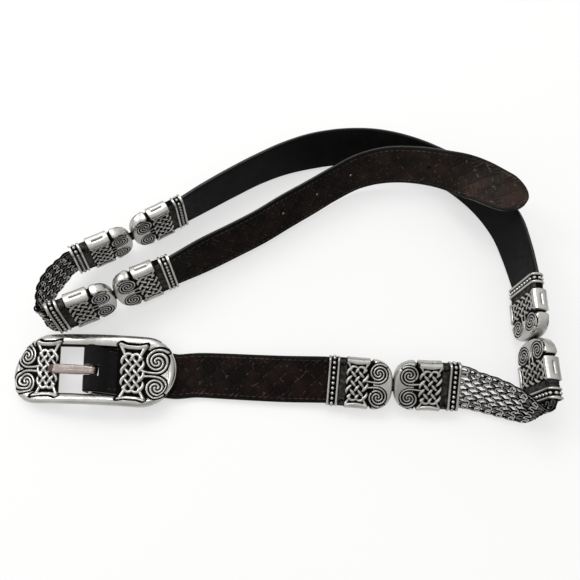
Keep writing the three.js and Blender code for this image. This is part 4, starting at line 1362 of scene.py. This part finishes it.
def ring_band(name, node_name, line, start, stop):
    """Rows of rings from start to stop, bent with the band's line."""
    shapes = {lean: ring_shape(lean) for lean in (RING_LEAN, -RING_LEAN)}
    flat, faces, shine, count = [], [], [], 0
    for place, shift in RING_ROWS:
        tube, quads, glow = shapes[RING_LEAN if shift else -RING_LEAN]
        for run in np.arange(start + shift * RING_PITCH / 2, stop, RING_PITCH):
            flat.append(tube + [run, place, 0])
            faces.append(quads + count)
            shine.append(glow)
            count += len(tube)
    flat = np.vstack(flat)
    spots = at_runs(line, np.clip(flat[:, 0], 0, line["run"][-1]))
    points = spots["at"] + spots["across"] * flat[:, 1:2] + spots["out"] * flat[:, 2:3]
    return new_piece(name, points, np.vstack(faces), [ring_silver], [node_name],
                     layers={"relief": np.concatenate(shine)}, smooth_angle=80)


BANDS = [  # piece, node that it replaces, first cap, stations, last cap
    ("right_band_rings", "right_chain", "cap_right_chain_front", RIGHT_CHAIN, "cap_right_chain_back"),
    ("left_band_rings", "left_chain", "cap_left_chain_back", LEFT_CHAIN, "cap_left_chain_front"),
]
for name, node_name, first, stations, last in BANDS:
    line = smooth_run([*seat(first, 2.5)[::-1], *stations, *seat(last, 2.5)], 0.5)
    length = line["run"][-1]
    band = ring_band(name, node_name, line, SEAT_DEPTH - 2.6, length - SEAT_DEPTH + 2.8)
    print(name, round(length - 2 * SEAT_DEPTH, 1), "mm between caps, faces", len(band.data.polygons))

# %% [markdown]
# Between the tips of two caps sits a link that the photograph all but hides. Its solid is as good
# as anything that could be modelled here, so it stays and only takes the metal of the rings.

# %% Hidden links
LINKS = ("link_front", "link_right", "link_left_back", "link_left_front")
for name in LINKS:
    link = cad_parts[name]
    link.data.materials.clear()
    link.data.materials.append(ring_silver)
print("links", len(LINKS))

# %% [markdown]
# The photograph's floor is a plain, almost white sheet under very soft light, and even its shadows
# are pale. A white floor under strong lamps would burn out the silver, so the floor is a mid grey
# that also glows a little, like a light table. A soft light above and behind gives the broad
# highlights on the silver, a smaller one at the left gives the soft shadow to the lower right, and
# the pale surroundings fill the rest.

# %% Floor
FLOOR_HALF = 3.0
FLOOR_GREY, FLOOR_CLOUD, FLOOR_GLOW = 0.3, 0.315, 0.555


def floor_material():
    """A pale matt sheet, a little cloudy, that glows."""
    material, tree, shader = new_material("pale_floor")
    shader.inputs["Roughness"].default_value = 0.9
    cloud = noise(tree, own_place(tree), 4.0)
    colour = mixed(tree, cloud, (FLOOR_GREY,) * 3 + (1,), (FLOOR_CLOUD,) * 3 + (1,))
    tree.links.new(colour, shader.inputs["Base Color"])
    shader.inputs["Emission Color"].default_value = (1, 1, 1, 1)
    shader.inputs["Emission Strength"].default_value = FLOOR_GLOW
    return material


floor_mesh = bpy.data.meshes.new("floor")
corners = [(x * FLOOR_HALF, y * FLOOR_HALF, 0) for x, y in ((-1, -1), (1, -1), (1, 1), (-1, 1))]
floor_mesh.from_pydata(corners, [], [(0, 1, 2, 3)])
floor_mesh.materials.append(floor_material())
floor = bpy.data.objects.new("floor", floor_mesh)
bpy.context.scene.collection.objects.link(floor)
print("floor", 2 * FLOOR_HALF, "m wide")

# %% Light
LAMPS = [  # name, place in metres, size, power
    ("top_light", (-0.2, 0.6, 1.0), 0.6, 4),
    ("left_light", (-0.85, 0.35, 0.75), 0.4, 3),
]
for name, place, size, power in LAMPS:
    data = bpy.data.lights.new(name, "AREA")
    data.shape = "DISK"
    data.size = size
    data.energy = power
    lamp = bpy.data.objects.new(name, data)
    lamp.location = place
    lamp.rotation_euler = (-Vector(place)).to_track_quat("-Z", "Y").to_euler()
    bpy.context.scene.collection.objects.link(lamp)
print("lights", len(LAMPS))

# %% Surroundings
world = bpy.data.worlds.new("studio")
world.use_nodes = True
sky = world.node_tree
toward = node(sky, "ShaderNodeTexCoord").outputs["Generated"]
facing = node(sky, "ShaderNodeVectorMath", {"operation": "DOT_PRODUCT"}, _0=toward,
              _1=(-0.3, 0.42, 0.86)).outputs["Value"]
background = sky.nodes["Background"]
sky.links.new(ranged(sky, facing, -0.1, 0.95, 0.62, 1.25, soft=True), background.inputs["Strength"])
background.inputs["Color"].default_value = (1.0, 0.99, 0.975, 1)
bpy.context.scene.world = world
bpy.context.scene.view_settings.view_transform = "Standard"
print("surroundings", world.name)
